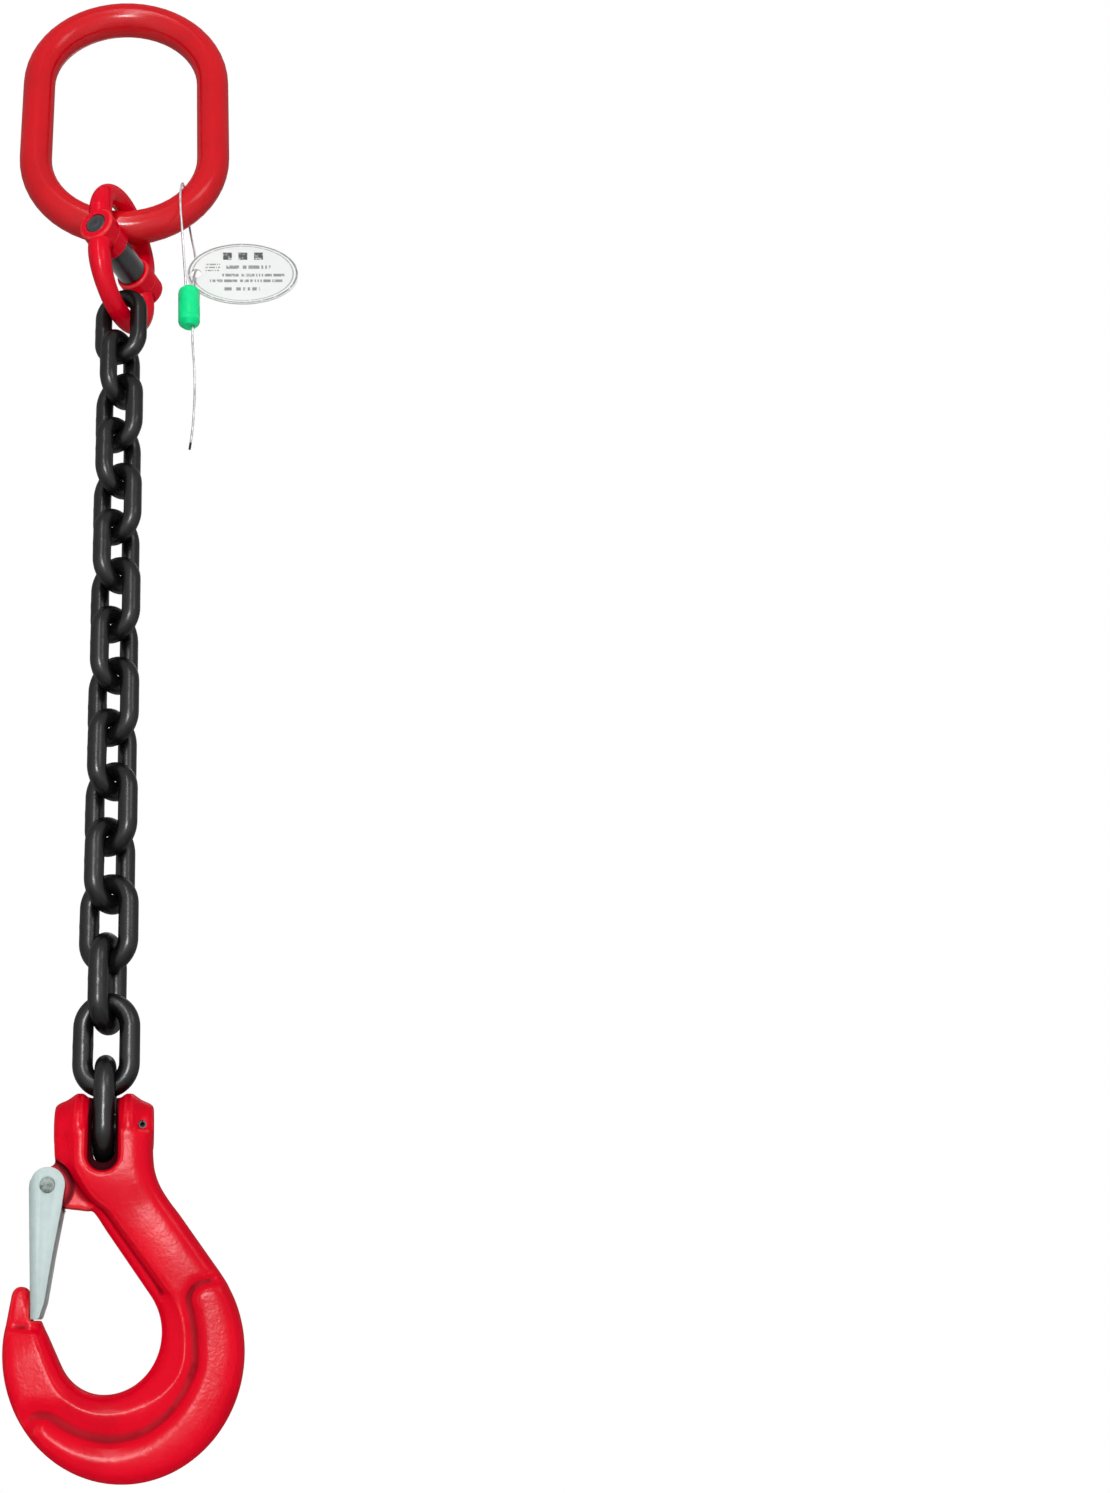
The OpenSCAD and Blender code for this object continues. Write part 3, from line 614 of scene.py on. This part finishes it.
coupling_bolt = turned_x(pin_profile(eyes_end, pin_radius))
coupling_pin = dress(piece("coupling_bolt", [in_coupling(coupling_bolt)]),
                     "coupling_upper", "coupling_pin")
bush_radius, bush_bore = 7, 5.06
bush_ring = turned_x(both_sides([[bush_half - 0.6, bush_radius], [bush_half, bush_radius - 0.6],
                                 [bush_half, bush_bore]]), closed=True)
bush = dress(piece("bush_ring", [in_coupling(bush_ring)]),
             "coupling_upper", "coupling_bush")
load_pin_half = 18
load_pin = dress(piece("clevis_pin", in_hook([turned_x(pin_profile(load_pin_half, pin_radius))])),
                 "hook", "load_pin")
roll_half, roll_bore = 9.1, 0.9
roll = np.radians(np.linspace(97.5, 442.5, 60))[:, None]
roll_r = np.array([roll_bore, roll_bore, retainer_radius, retainer_radius])[None, :]
roll_y = roll_half * np.array([-1, 1, 1, -1])[None, :] + 0 * roll
rolled = skin(np.stack([retainer_x + roll_r * np.cos(roll), roll_y, roll_r * np.sin(roll)], -1)
              * MM)
roll_pin = dress(piece("roll_pin", in_hook([rolled])), "hook", "retaining_pin")
print("load pin:", load_pin_half * 2, "mm long")

# %% [markdown]
# ## The latch
# The latch is pressed from sheet, so its edges are only slightly rounded. The solid's own mesh is
# already right, so a copy of it is merged and given a narrow bevel. Its spring is one wire: a leg
# that rests on the hook, a coil round the rivet and a leg that follows the latch.

# %% Latch and rivet
pivot = np.array([latch_x, 0, pin_level + latch_z])
latch_bevel = 0.18
latch = put("pressed_latch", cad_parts["latch"].data.copy())
latch.data.materials.clear()
clean = bmesh.new()
clean.from_mesh(latch.data)
bmesh.ops.remove_doubles(clean, verts=clean.verts, dist=2e-6)
bmesh.ops.dissolve_limit(clean, angle_limit=math.radians(0.5), verts=clean.verts,
                         edges=clean.edges)
clean.to_mesh(latch.data)
clean.free()
bevel = latch.modifiers.new("edge", "BEVEL")
bevel.limit_method = "ANGLE"
bevel.angle_limit = math.radians(40)
bevel.width = latch_bevel * MM
bevel.segments = 2
settle(latch)
smooth_shading(latch, 50)
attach(latch, "latch")
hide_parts("latch")
rivet_shape = turned_x(both_sides([[9.1, 2], [9.1, 2.9], [9.75, 2.75], [10, 2.2], [10, 0.9]]))
rivet = dress(piece("latch_rivet", [moved(rivet_shape, pivot, ALONG_Y)]),
              "hook", "latch_pin")
print("latch:", len(latch.data.polygons), "faces")

# %% Spring
coil_radius, coil_start, coil_pitch, spring_radius = 3, 5.65, 1.05, 0.5
coil_turn = np.radians(np.arange(-60, 331, 6))
coil = np.stack([coil_radius * np.cos(coil_turn),
                 coil_start + coil_pitch * (coil_turn - coil_turn[0]) / (2 * np.pi),
                 coil_radius * np.sin(coil_turn)], 1)
hook_leg = np.array([[5.6, coil_start, -8.6], [4.6, coil_start, -7.1], [3.5, coil_start, -5.4],
                     [2.4, coil_start, -3.9]])
arm = coil[-1] + np.array([0.8, 3, 6, 10, 14, 17])[:, None] * [-0.16, 0, -1]
spring_path = spline((np.vstack([hook_leg, coil[::4], coil[-1:], arm]) + pivot) * MM, 5)
spring_skin = skin(along(spring_path, spring_radius * MM, 14, [0.2, 1, 0.1]))
spring = dress(piece("latch_spring", [spring_skin]),
               None, ["latch_spring_coil", "latch_spring_arm"])
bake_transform(spring)
print("spring:", len(spring_path), "rings")

# %% [markdown]
# ## Tag and barrel seal
# The tag is an oval plate with a hole near one end. Its grid runs from the hole's circle, share 0,
# to the oval's edge, share 1, and round over a soft edge to the back. The seal is a moulded barrel
# with chamfered ends that grips the wire twice.

# %% Tag
tag_centre, tag_long, tag_high = np.array([58, 6.5, -149.85]), 27, 18
hole_centre, hole_radius = np.array([-22.5, 0]), 2.5
rim = np.array([[0.0, 0.36], [0.006, 0.46], [0.02, 0.5], [0.3, 0.5], [0.7, 0.5], [0.985, 0.5],
                [0.995, 0.44], [1.0, 0.3]])
rim = np.vstack([rim * [1, -1], rim[::-1]])
tag_turn = angles(144)[:, None, None]
tag_circle = np.concatenate([np.cos(tag_turn), np.sin(tag_turn)], -1)
round_hole = hole_centre + hole_radius * tag_circle
round_edge = np.array([tag_long, tag_high]) * tag_circle
flat = round_hole + rim[None, :, :1] * (round_edge - round_hole)
tag_grid = np.stack([flat[..., 0], np.broadcast_to(rim[:, 1], flat.shape[:2]), flat[..., 1]], -1)
tag = dress(piece("oval_tag", [skin((tag_grid + tag_centre) * MM, closed=True)]),
            "tag", "tag_plate")

# %% Seal
seal_centre = np.array([32, 0, -175])
barrel = turned_x(both_sides([[5.7, 5.2], [6, 5.02], [6.5, 5.02], [6.8, 5.2], [8.2, 5.17],
                              [9, 4.95], [9.4, 4.6], [10.7, 3.3], [11, 2.9], [11, 1]]))
wire_hole = 0.95


def upright(x, low, high):
    """Hole for one leg of the wire: a thin cylinder along Z."""
    hole = turned_x([[low, wire_hole], [high, wire_hole]], sides=24)
    return moved(hole, [x, 0, 0], UPRIGHT)


seal = piece("barrel_seal", [moved(barrel, seal_centre, UPRIGHT)])
cut(seal, [upright(30.4, -177.2, -160), upright(33.6, -190, -160)])
seal = dress(seal, "seal", "seal_body")

# %% [markdown]
# ## Finishes
# A finish is colour, gloss and a fine height, and each changes over the surface. Effects that more
# than one finish uses are node groups. The enamel's colour has painted shade in hollows and a
# painted highlight on ridges, so each forging carries how far its surface curves at every point,
# worked out from its own edges.

# %% How far the surface curves
def read(items, label, width=3, kind=float):
    """One property of all of a mesh's vertices or edges, as rows of that many numbers."""
    flat = np.zeros(len(items) * width, kind)
    items.foreach_get(label, flat)
    return flat.reshape(-1, width)


def mark(made, name, values):
    """Keeps one number per vertex under a name that the shaders read."""
    layer = made.data.attributes.new(name, "FLOAT", "POINT")
    layer.data.foreach_set("value", values.astype(np.float32))


def mark_curve(made, radius=1.2, rounds=2, broad_rounds=24):
    """Attribute 'curve' = 2 * radius * mean over a vertex's edges of -(normal . edge) / length^2,
    which is +1 on a convex round of that radius in millimetres and -1 in a hollow one. Attribute
    'bowl' is the same averaged over a wider patch, so that it shows broad, shallow hollows."""
    mesh, count = made.data, len(made.data.vertices)
    points, normals = read(mesh.vertices, "co"), read(mesh.vertex_normals, "vector")
    pairs = read(mesh.edges, "vertices", 2, int)
    pairs = np.vstack([pairs, pairs[:, ::-1]])
    line = points[pairs[:, 1]] - points[pairs[:, 0]]
    bend = -np.sum(normals[pairs[:, 0]] * line, 1) / np.maximum(np.sum(line * line, 1), 1e-10)
    degree = np.maximum(np.bincount(pairs[:, 0], minlength=count), 1)
    curve = np.bincount(pairs[:, 0], bend, count) / degree * 2 * radius * MM
    curve = np.clip(curve, -1.5, 1.5)
    for name, repeats in [("curve", rounds), ("bowl", broad_rounds)]:
        for _ in range(repeats):
            curve = 0.5 * curve + 0.5 * np.bincount(pairs[:, 0], curve[pairs[:, 1]], count) / degree
        mark(made, name, curve)


def mark_painted_shade(made):
    """Marks two masks of painted shade. One is 1 on the walls of the chain's slot, which are painted
    near black where shade falls, and 0 from the bevel outwards. The other is 1 in the corner round
    the latch's recess, less on the lug in it and 0 outside, where deep red is painted as shade."""
    x, y, z = read(made.data.vertices, "co").T / MM
    level = z - pin_level
    # Painted shade: the walls of the chain's slot are painted near black
    slot_shade = (1 - ease(np.abs(x), 5.4, 6.2)) * (1 - ease(np.abs(y), 10, 11.2))
    slot_shade = slot_shade * ease(level, -17.4, -16.2)
    # Painted shade: a dark red crescent in the corner round the latch's recess
    away = np.hypot(x - latch_x, level - latch_z)
    inside = (1 - ease(np.abs(y), 5.5, 8.5)) * (1 - ease(away, 9.4, 10.4))
    recess_shade = inside * (0.3 + 0.7 * ease(away, 6.2, 8.8))
    mark(made, "slot_shade", slot_shade)
    mark(made, "recess_shade", recess_shade)


for made in [hook_forging, upper_half, lower_half]:
    mark_curve(made)
mark_painted_shade(hook_forging)

# The last millimetres of the wire's tail are the dark, crimped cut
crimp = 3.5
wire_z = read(seal_wire.data.vertices, "co")[:, 2]
mark(seal_wire, "cut", wire_z < wire_route[-1, 2] + crimp * MM)


# %% Node helpers
def add(tree, kind, settings=None, **inputs):
    """A node with its settings, and each named input set to a value or linked to a socket."""
    made = tree.nodes.new(kind)
    for key, value in (settings or {}).items():
        setattr(made, key, value)
    for key, value in inputs.items():
        socket = made.inputs[int(key[1:])] if key[0] == "_" else made.inputs[key]
        if isinstance(value, bpy.types.NodeSocket):
            tree.links.new(value, socket)
        else:
            socket.default_value = value
    return made


def calc(tree, operation, a, b=0.0, c=0.0, clamp=False):
    """One step of arithmetic; MULTIPLY_ADD is a * b + c."""
    return add(tree, "ShaderNodeMath", {"operation": operation, "use_clamp": clamp},
               _0=a, _1=b, _2=c).outputs[0]


def times(tree, a, b, clamp=False):
    """The product a * b."""
    return calc(tree, "MULTIPLY", a, b, clamp=clamp)


def blend_colour(tree, share, a, b):
    """Colour a with a share of colour b."""
    return add(tree, "ShaderNodeMix", {"data_type": "RGBA"}, _0=share, _6=a, _7=b).outputs[2]


def place_on(tree):
    """The shaded point in the object's own coordinates."""
    return add(tree, "ShaderNodeTexCoord").outputs["Object"]


def marked(tree, name):
    """The number that is kept under a name on each vertex."""
    return add(tree, "ShaderNodeAttribute", {"attribute_name": name}).outputs["Fac"]


def speckle(tree, scale, detail=3.0, roughness=0.5):
    """Noise from 0 to 1 on object coordinates; the scale counts features per metre."""
    return add(tree, "ShaderNodeTexNoise", None, Vector=place_on(tree), Scale=scale,
               Detail=detail, Roughness=roughness).outputs[0]


def seen_by(tree, *kinds):
    """1 for rays of these kinds, such as those from the lens or off a gloss, and 0 for others."""
    rays = add(tree, "ShaderNodeLightPath")
    seen = rays.outputs[kinds[0]]
    for kind in kinds[1:]:
        seen = calc(tree, "MAXIMUM", seen, rays.outputs[kind])
    return seen


def step_up(tree, value, low, high):
    """0 below one value, 1 above the other, smooth between."""
    return add(tree, "ShaderNodeMapRange", {"interpolation_type": "SMOOTHSTEP"}, Value=value,
               _1=low, _2=high, _3=0.0, _4=1.0).outputs[0]


def group(name, **inputs):
    """An empty node group with these inputs that is to give a colour, a roughness and a height;
    returns its tree, its input sockets and its end."""
    tree = bpy.data.node_groups.new(name, "ShaderNodeTree")
    sockets = [(label, "INPUT", value) for label, value in inputs.items()]
    sockets += [("Colour", "OUTPUT", (0, 0, 0, 1)), ("Roughness", "OUTPUT", 0.5),
                ("Height", "OUTPUT", 0.0)]
    for label, way, value in sockets:
        kind = "NodeSocketColor" if isinstance(value, tuple) else "NodeSocketFloat"
        socket = tree.interface.new_socket(label, in_out=way, socket_type=kind)
        socket.default_value = value
    start, end = tree.nodes.new("NodeGroupInput"), tree.nodes.new("NodeGroupOutput")
    return tree, start.outputs, end


def colour(r, g, b):
    """A colour given in the 0 to 255 steps of a screen, as the linear values that nodes use."""
    c = np.array([r, g, b]) / 255
    return tuple(np.where(c <= 0.04045, c / 12.92, ((c + 0.055) / 1.055) ** 2.4)) + (1.0,)


# %% Enamel group
enamel, given, result = group(
    "Enamel", Colour=colour(236, 2, 36), Deep=colour(134, 0, 18), Worn=colour(250, 84, 78),
    Peel=0.3, Forged=0.5, Pits=0.0, Rough=0.2)
# Painted shade colours: deep red in the latch's recess and near black on the chain's slot walls
recess_shade_red, slot_shade_black = colour(64, 0, 14), colour(16, 14, 17)
curve, bowl, slot_shade, recess_shade = (marked(enamel, name) for name in ["curve", "bowl", "slot_shade", "recess_shade"])
broad = speckle(enamel, 38.0, 2.0)
fine = speckle(enamel, 420.0)
peel = speckle(enamel, 900.0, 1.0)
lumps = speckle(enamel, 170.0, 4.0, 0.62)
dots = step_up(enamel, speckle(enamel, 620.0, 1.0), 0.70, 0.76)
patch = step_up(enamel, speckle(enamel, 60.0, 1.0), 0.52, 0.66)
pits = times(enamel, times(enamel, dots, patch), given["Pits"])
hollow = step_up(enamel, times(enamel, curve, -1.0), 0.08, 0.75)
broad_hollow = step_up(enamel, times(enamel, bowl, -1.0), 0.02, 0.19)
convex = step_up(enamel, curve, 0.14, 0.6)
# Painted shade: small and broad hollows are darkened, along with a random broad tone; the same dark
# colour also fills the pits
shade = calc(enamel, "MULTIPLY_ADD", hollow, 0.4, times(enamel, broad_hollow, 0.74))
shade = calc(enamel, "MULTIPLY_ADD", step_up(enamel, broad, 0.45, 0.75), 0.16, shade, clamp=True)
# Painted highlight: convex ridges are lightened, broken up by fine noise
ridge_highlight = times(enamel, convex, times(enamel, fine, 0.9), clamp=True)
coats = given["Colour"]
for share, over in [(shade, given["Deep"]), (ridge_highlight, given["Worn"]),
                    (times(enamel, recess_shade, 0.85), recess_shade_red),
                    (times(enamel, slot_shade, 0.94), slot_shade_black), (pits, given["Deep"])]:
    coats = blend_colour(enamel, share, coats, over)
dull = calc(enamel, "MAXIMUM", recess_shade, broad_hollow)
gloss = calc(enamel, "MULTIPLY_ADD", lumps, 0.16, given["Rough"])
gloss = calc(enamel, "MULTIPLY_ADD", dull, 0.45, gloss)
height = calc(enamel, "MULTIPLY_ADD", peel, given["Peel"], times(enamel, lumps, given["Forged"]))
height = calc(enamel, "MULTIPLY_ADD", pits, -0.6, height)
for label, value in [("Colour", coats), ("Roughness", gloss), ("Height", height)]:
    enamel.links.new(value, result.inputs[label])

# %% Bare or blackened steel group
steel, given, result = group(
    "Steel grain", Colour=colour(40, 40, 42), Dark=colour(20, 20, 22), Rough=0.4, Scale=300.0,
    Spread=0.15)
crimp_dark = colour(30, 30, 32)
grain = speckle(steel, given["Scale"], 4.0, 0.6)
cloud = speckle(steel, 55.0, 2.0)
mottle = calc(steel, "MULTIPLY_ADD", grain, 0.5, times(steel, cloud, 0.5))
tint = blend_colour(steel, step_up(steel, mottle, 0.35, 0.65), given["Dark"], given["Colour"])
tint = blend_colour(steel, marked(steel, "cut"), tint, crimp_dark)
rough = calc(steel, "MULTIPLY_ADD", calc(steel, "SUBTRACT", cloud, 0.5), given["Spread"],
             given["Rough"])
for label, value in [("Colour", tint), ("Roughness", rough), ("Height", grain)]:
    steel.links.new(value, result.inputs[label])


# %% Materials from the groups
def plain_material(name):
    """A new material, its node tree and its Principled shader."""
    material = bpy.data.materials.new(name)
    material.use_nodes = True
    return material, material.node_tree, material.node_tree.nodes["Principled BSDF"]


def finish(name, pieces, effect, values, bump, edge_fade=0.0, **sockets):
    """A Principled material: the group gives colour, roughness and height, and constants are set on
    the shader's own sockets. The bump's distance is in millimetres. With an edge fade the gloss has
    that level face on and sinks to nothing where the surface turns away."""
    material, tree, shader = plain_material(name)
    source = tree.nodes.new("ShaderNodeGroup")
    source.node_tree = effect
    for key, value in values.items():
        source.inputs[key].default_value = colour(*value) if isinstance(value, tuple) else value
    tree.links.new(source.outputs["Colour"], shader.inputs["Base Color"])
    tree.links.new(source.outputs["Roughness"], shader.inputs["Roughness"])
    relief = add(tree, "ShaderNodeBump", None, Strength=1.0, Distance=bump * MM,
                 Height=source.outputs["Height"])
    tree.links.new(relief.outputs[0], shader.inputs["Normal"])
    if edge_fade:
        facing = add(tree, "ShaderNodeLayerWeight", None, Blend=0.5).outputs["Facing"]
        fade = calc(tree, "POWER", calc(tree, "SUBTRACT", 1.0, facing), 3.0)
        tree.links.new(times(tree, edge_fade, fade), shader.inputs["Specular IOR Level"])
    for key, value in sockets.items():
        shader.inputs[key.replace("_", " ")].default_value = value
    for made in pieces:
        made.data.materials.clear()
        made.data.materials.append(material)


finish("smooth red enamel", [master], enamel,
       dict(Colour=(214, 12, 26), Deep=(150, 0, 18), Peel=0.15, Forged=0.25, Pits=0.1, Rough=0.11),
       0.12, edge_fade=0.42)
finish("forged red enamel", [hook_forging], enamel,
       dict(Peel=0.15, Forged=0.45, Pits=0.2, Rough=0.14), 0.2, edge_fade=0.14)
finish("coupling red enamel", [upper_half, lower_half], enamel,
       dict(Colour=(234, 0, 36), Peel=0.2, Forged=0.6, Pits=0.3, Rough=0.12), 0.15, edge_fade=0.24)
finish("black chain", link_pieces, steel,
       dict(Colour=(20, 20, 21), Dark=(9, 9, 10), Rough=0.28), 0.11, edge_fade=0.6)
finish("roll pin steel", [roll_pin], steel,
       dict(Colour=(34, 32, 34), Dark=(16, 15, 16), Rough=0.45), 0.02)
finish("dark pin steel", [coupling_pin, bush, load_pin], steel,
       dict(Colour=(40, 42, 48), Dark=(20, 20, 24), Rough=0.34, Scale=500.0), 0.03, Metallic=0.2)
finish("zinc plate", [latch], steel,
       dict(Colour=(192, 209, 207), Dark=(184, 201, 200), Rough=0.5, Scale=380.0), 0.015,
       Metallic=0.1, Specular_IOR_Level=0.2)
finish("rivet zinc", [rivet], steel,
       dict(Colour=(170, 184, 180), Dark=(56, 60, 60), Rough=0.45, Scale=700.0), 0.06,
       Specular_IOR_Level=0.3)
finish("spring steel", [spring], steel,
       dict(Colour=(150, 150, 152), Dark=(105, 105, 108), Rough=0.3), 0.01, Metallic=0.9)
finish("seal wire steel", [seal_wire], steel,
       dict(Colour=(222, 223, 225), Dark=(160, 160, 163), Rough=0.3), 0.01, Metallic=0.8)
finish("green seal plastic", [seal], steel,
       dict(Colour=(8, 248, 158), Dark=(0, 234, 142), Rough=0.38, Scale=240.0), 0.02,
       Specular_IOR_Level=0.2)
print("finishes:", len(bpy.data.materials))

# %% [markdown]
# ## The tag's face
# The tag is white with a thin double rim and rows of plain grey bars. The rim is the set of points
# at a chosen distance in the oval's own measure, where 1 is the edge.

# %% Tag finish
coat, tree, shader = plain_material("printed tag coat")
placed = add(tree, "ShaderNodeVectorMath", {"operation": "SUBTRACT"}, _0=place_on(tree),
             _1=tuple(tag_centre * MM)).outputs[0]
split = add(tree, "ShaderNodeSeparateXYZ", None, Vector=placed)
tag_x, tag_z = split.outputs[0], split.outputs[2]
oval_measure = calc(tree, "SQRT", calc(
    tree, "ADD", calc(tree, "POWER", calc(tree, "DIVIDE", tag_x, tag_long * MM), 2.0),
    calc(tree, "POWER", calc(tree, "DIVIDE", tag_z, tag_high * MM), 2.0)))


def band(value, middle, half_width, soft):
    """1 within half a width of the middle, with soft borders."""
    away = calc(tree, "ABSOLUTE", calc(tree, "SUBTRACT", value, middle))
    return calc(tree, "SUBTRACT", 1.0, step_up(tree, away, half_width - soft, half_width + soft))


def bars(level, height, left, right, pitch, fill, seed):
    """A row of short bars: cells of the pitch along X, filled where the cell's own noise is low."""
    cell = calc(tree, "FLOOR", calc(tree, "DIVIDE", tag_x, pitch * MM))
    chance = add(tree, "ShaderNodeTexWhiteNoise", {"noise_dimensions": "1D"},
                 W=calc(tree, "ADD", cell, seed)).outputs[0]
    filled = calc(tree, "LESS_THAN", chance, fill)
    row = band(tag_z, level * MM, height / 2 * MM, 0.12 * MM)
    extent = band(tag_x, (left + right) / 2 * MM, (right - left) / 2 * MM, 0.1 * MM)
    return times(tree, times(tree, row, extent), filled)


rim_lines = calc(tree, "MAXIMUM", band(oval_measure, 0.965, 0.016, 0.006),
                 times(tree, band(oval_measure, 0.9, 0.012, 0.005), 0.7))
ink = times(tree, rim_lines, 0.75)

# Columns: level, height, left, right, pitch, share filled and seed. A share over 1 fills all cells
bold_bars = [(10.2, 4.4, left, left + 4.3, 9.0, 1.1, seed)
             for left, seed in [(-9.5, 1), (-2.0, 2), (5.6, 3)]]
fine_bars = [(3.6, 2.0, -8.0, 14.0, 0.9, 0.72, 4), (-1.2, 1.6, -10.0, 20.0, 0.7, 0.7, 5),
             (-4.6, 1.6, -16.0, 19.0, 0.7, 0.66, 6), (-9.4, 1.9, -9.0, 8.0, 1.1, 0.6, 7)]
fine_bars += [(level, 0.8, -18.0, -11.0, 0.5, 0.6, seed)
              for level, seed in [(5.2, 8), (3.4, 9), (1.6, 10)]]
for strength, rows in [(0.95, bold_bars), (0.7, fine_bars)]:
    for row in rows:
        ink = calc(tree, "MAXIMUM", ink, times(tree, bars(*row), strength))
smudge = speckle(tree, 500.0)
ink = times(tree, ink, step_up(tree, smudge, 0.25, 0.5))
tree.links.new(blend_colour(tree, ink, colour(238, 241, 240), colour(24, 26, 28)),
               shader.inputs["Base Color"])
tree.links.new(calc(tree, "MULTIPLY_ADD", smudge, 0.15, 0.3), shader.inputs["Roughness"])
tag.data.materials.clear()
tag.data.materials.append(coat)

# %% [markdown]
# ## Light and floor
# Four soft lamps and a pale world light the sling as in a product studio. The tall strip draws the
# bright line down each round bar. The world shows white to the lens and in reflections, and
# lights at a lower level. The floor keeps the shadow near the sling and runs out to white.

# %% Lamps
def softbox(name, place, aim, width, height, power):
    """A lamp that faces its aim. On a matt white wall at distance d it gives about
    power / (10 d^2) of full white."""
    lamp = bpy.data.lights.new(name, "AREA")
    lamp.shape, lamp.size, lamp.size_y, lamp.energy = "RECTANGLE", width, height, power
    made = put(name, lamp)
    made.location = place
    made.rotation_euler = (Vector(aim) - Vector(place)).to_track_quat("-Z", "Y").to_euler()


softbox("key", (-0.04, -1.5, -0.46), (0, 0, -0.35), 0.26, 0.26, 8.2)
softbox("strip", (-0.12, -1.3, 0.2), (0, 0, -0.3), 0.08, 1.2, 5.4)
softbox("fill", (1.1, -1.3, 0.3), (0, 0, -0.3), 0.5, 0.5, 3)
softbox("rim", (0.3, 1.3, 0.6), (0, 0, -0.3), 0.6, 0.6, 4)
print("lamps:", len(bpy.data.lights))

# %% World
world_light = 0.2
world = bpy.data.worlds.new("studio")
scene.world = world
world.use_nodes = True
tree = world.node_tree
tree.nodes.clear()
seen = seen_by(tree, "Is Camera Ray", "Is Glossy Ray", "Is Transmission Ray")
strength = calc(tree, "MULTIPLY_ADD", seen, 1 - world_light, world_light)
sky = add(tree, "ShaderNodeBackground", None, Color=(1, 1, 1, 1), Strength=strength)
add(tree, "ShaderNodeOutputWorld", None, Surface=sky.outputs[0])

# %% Floor
floor_level, floor_half, pale_from, pale_to = -0.76, 4.0, 0.86, 1.15
floor_corners = floor_half * np.array([[-1, -1, 0], [1, -1, 0], [1, 1, 0], [-1, 1, 0]])
floor = piece("floor", [(floor_corners + [0, 0, floor_level], [[0, 1, 2, 3]])])
paper, tree, shader = plain_material("white paper")
shader.inputs["Base Color"].default_value = (0.9, 0.9, 0.9, 1)
shader.inputs["Roughness"].default_value = 0.9
away = add(tree, "ShaderNodeVectorMath", {"operation": "LENGTH"}, _0=place_on(tree)).outputs["Value"]
pale = times(tree, seen_by(tree, "Is Camera Ray", "Is Glossy Ray"),
            step_up(tree, away, pale_from, pale_to))
white = add(tree, "ShaderNodeEmission", None, Color=(1, 1, 1, 1), Strength=1.0)
mixed = add(tree, "ShaderNodeMixShader", None, Fac=pale, _1=shader.outputs[0],
            _2=white.outputs[0])
tree.links.new(mixed.outputs[0], tree.nodes["Material Output"].inputs["Surface"])
floor.data.materials.append(paper)
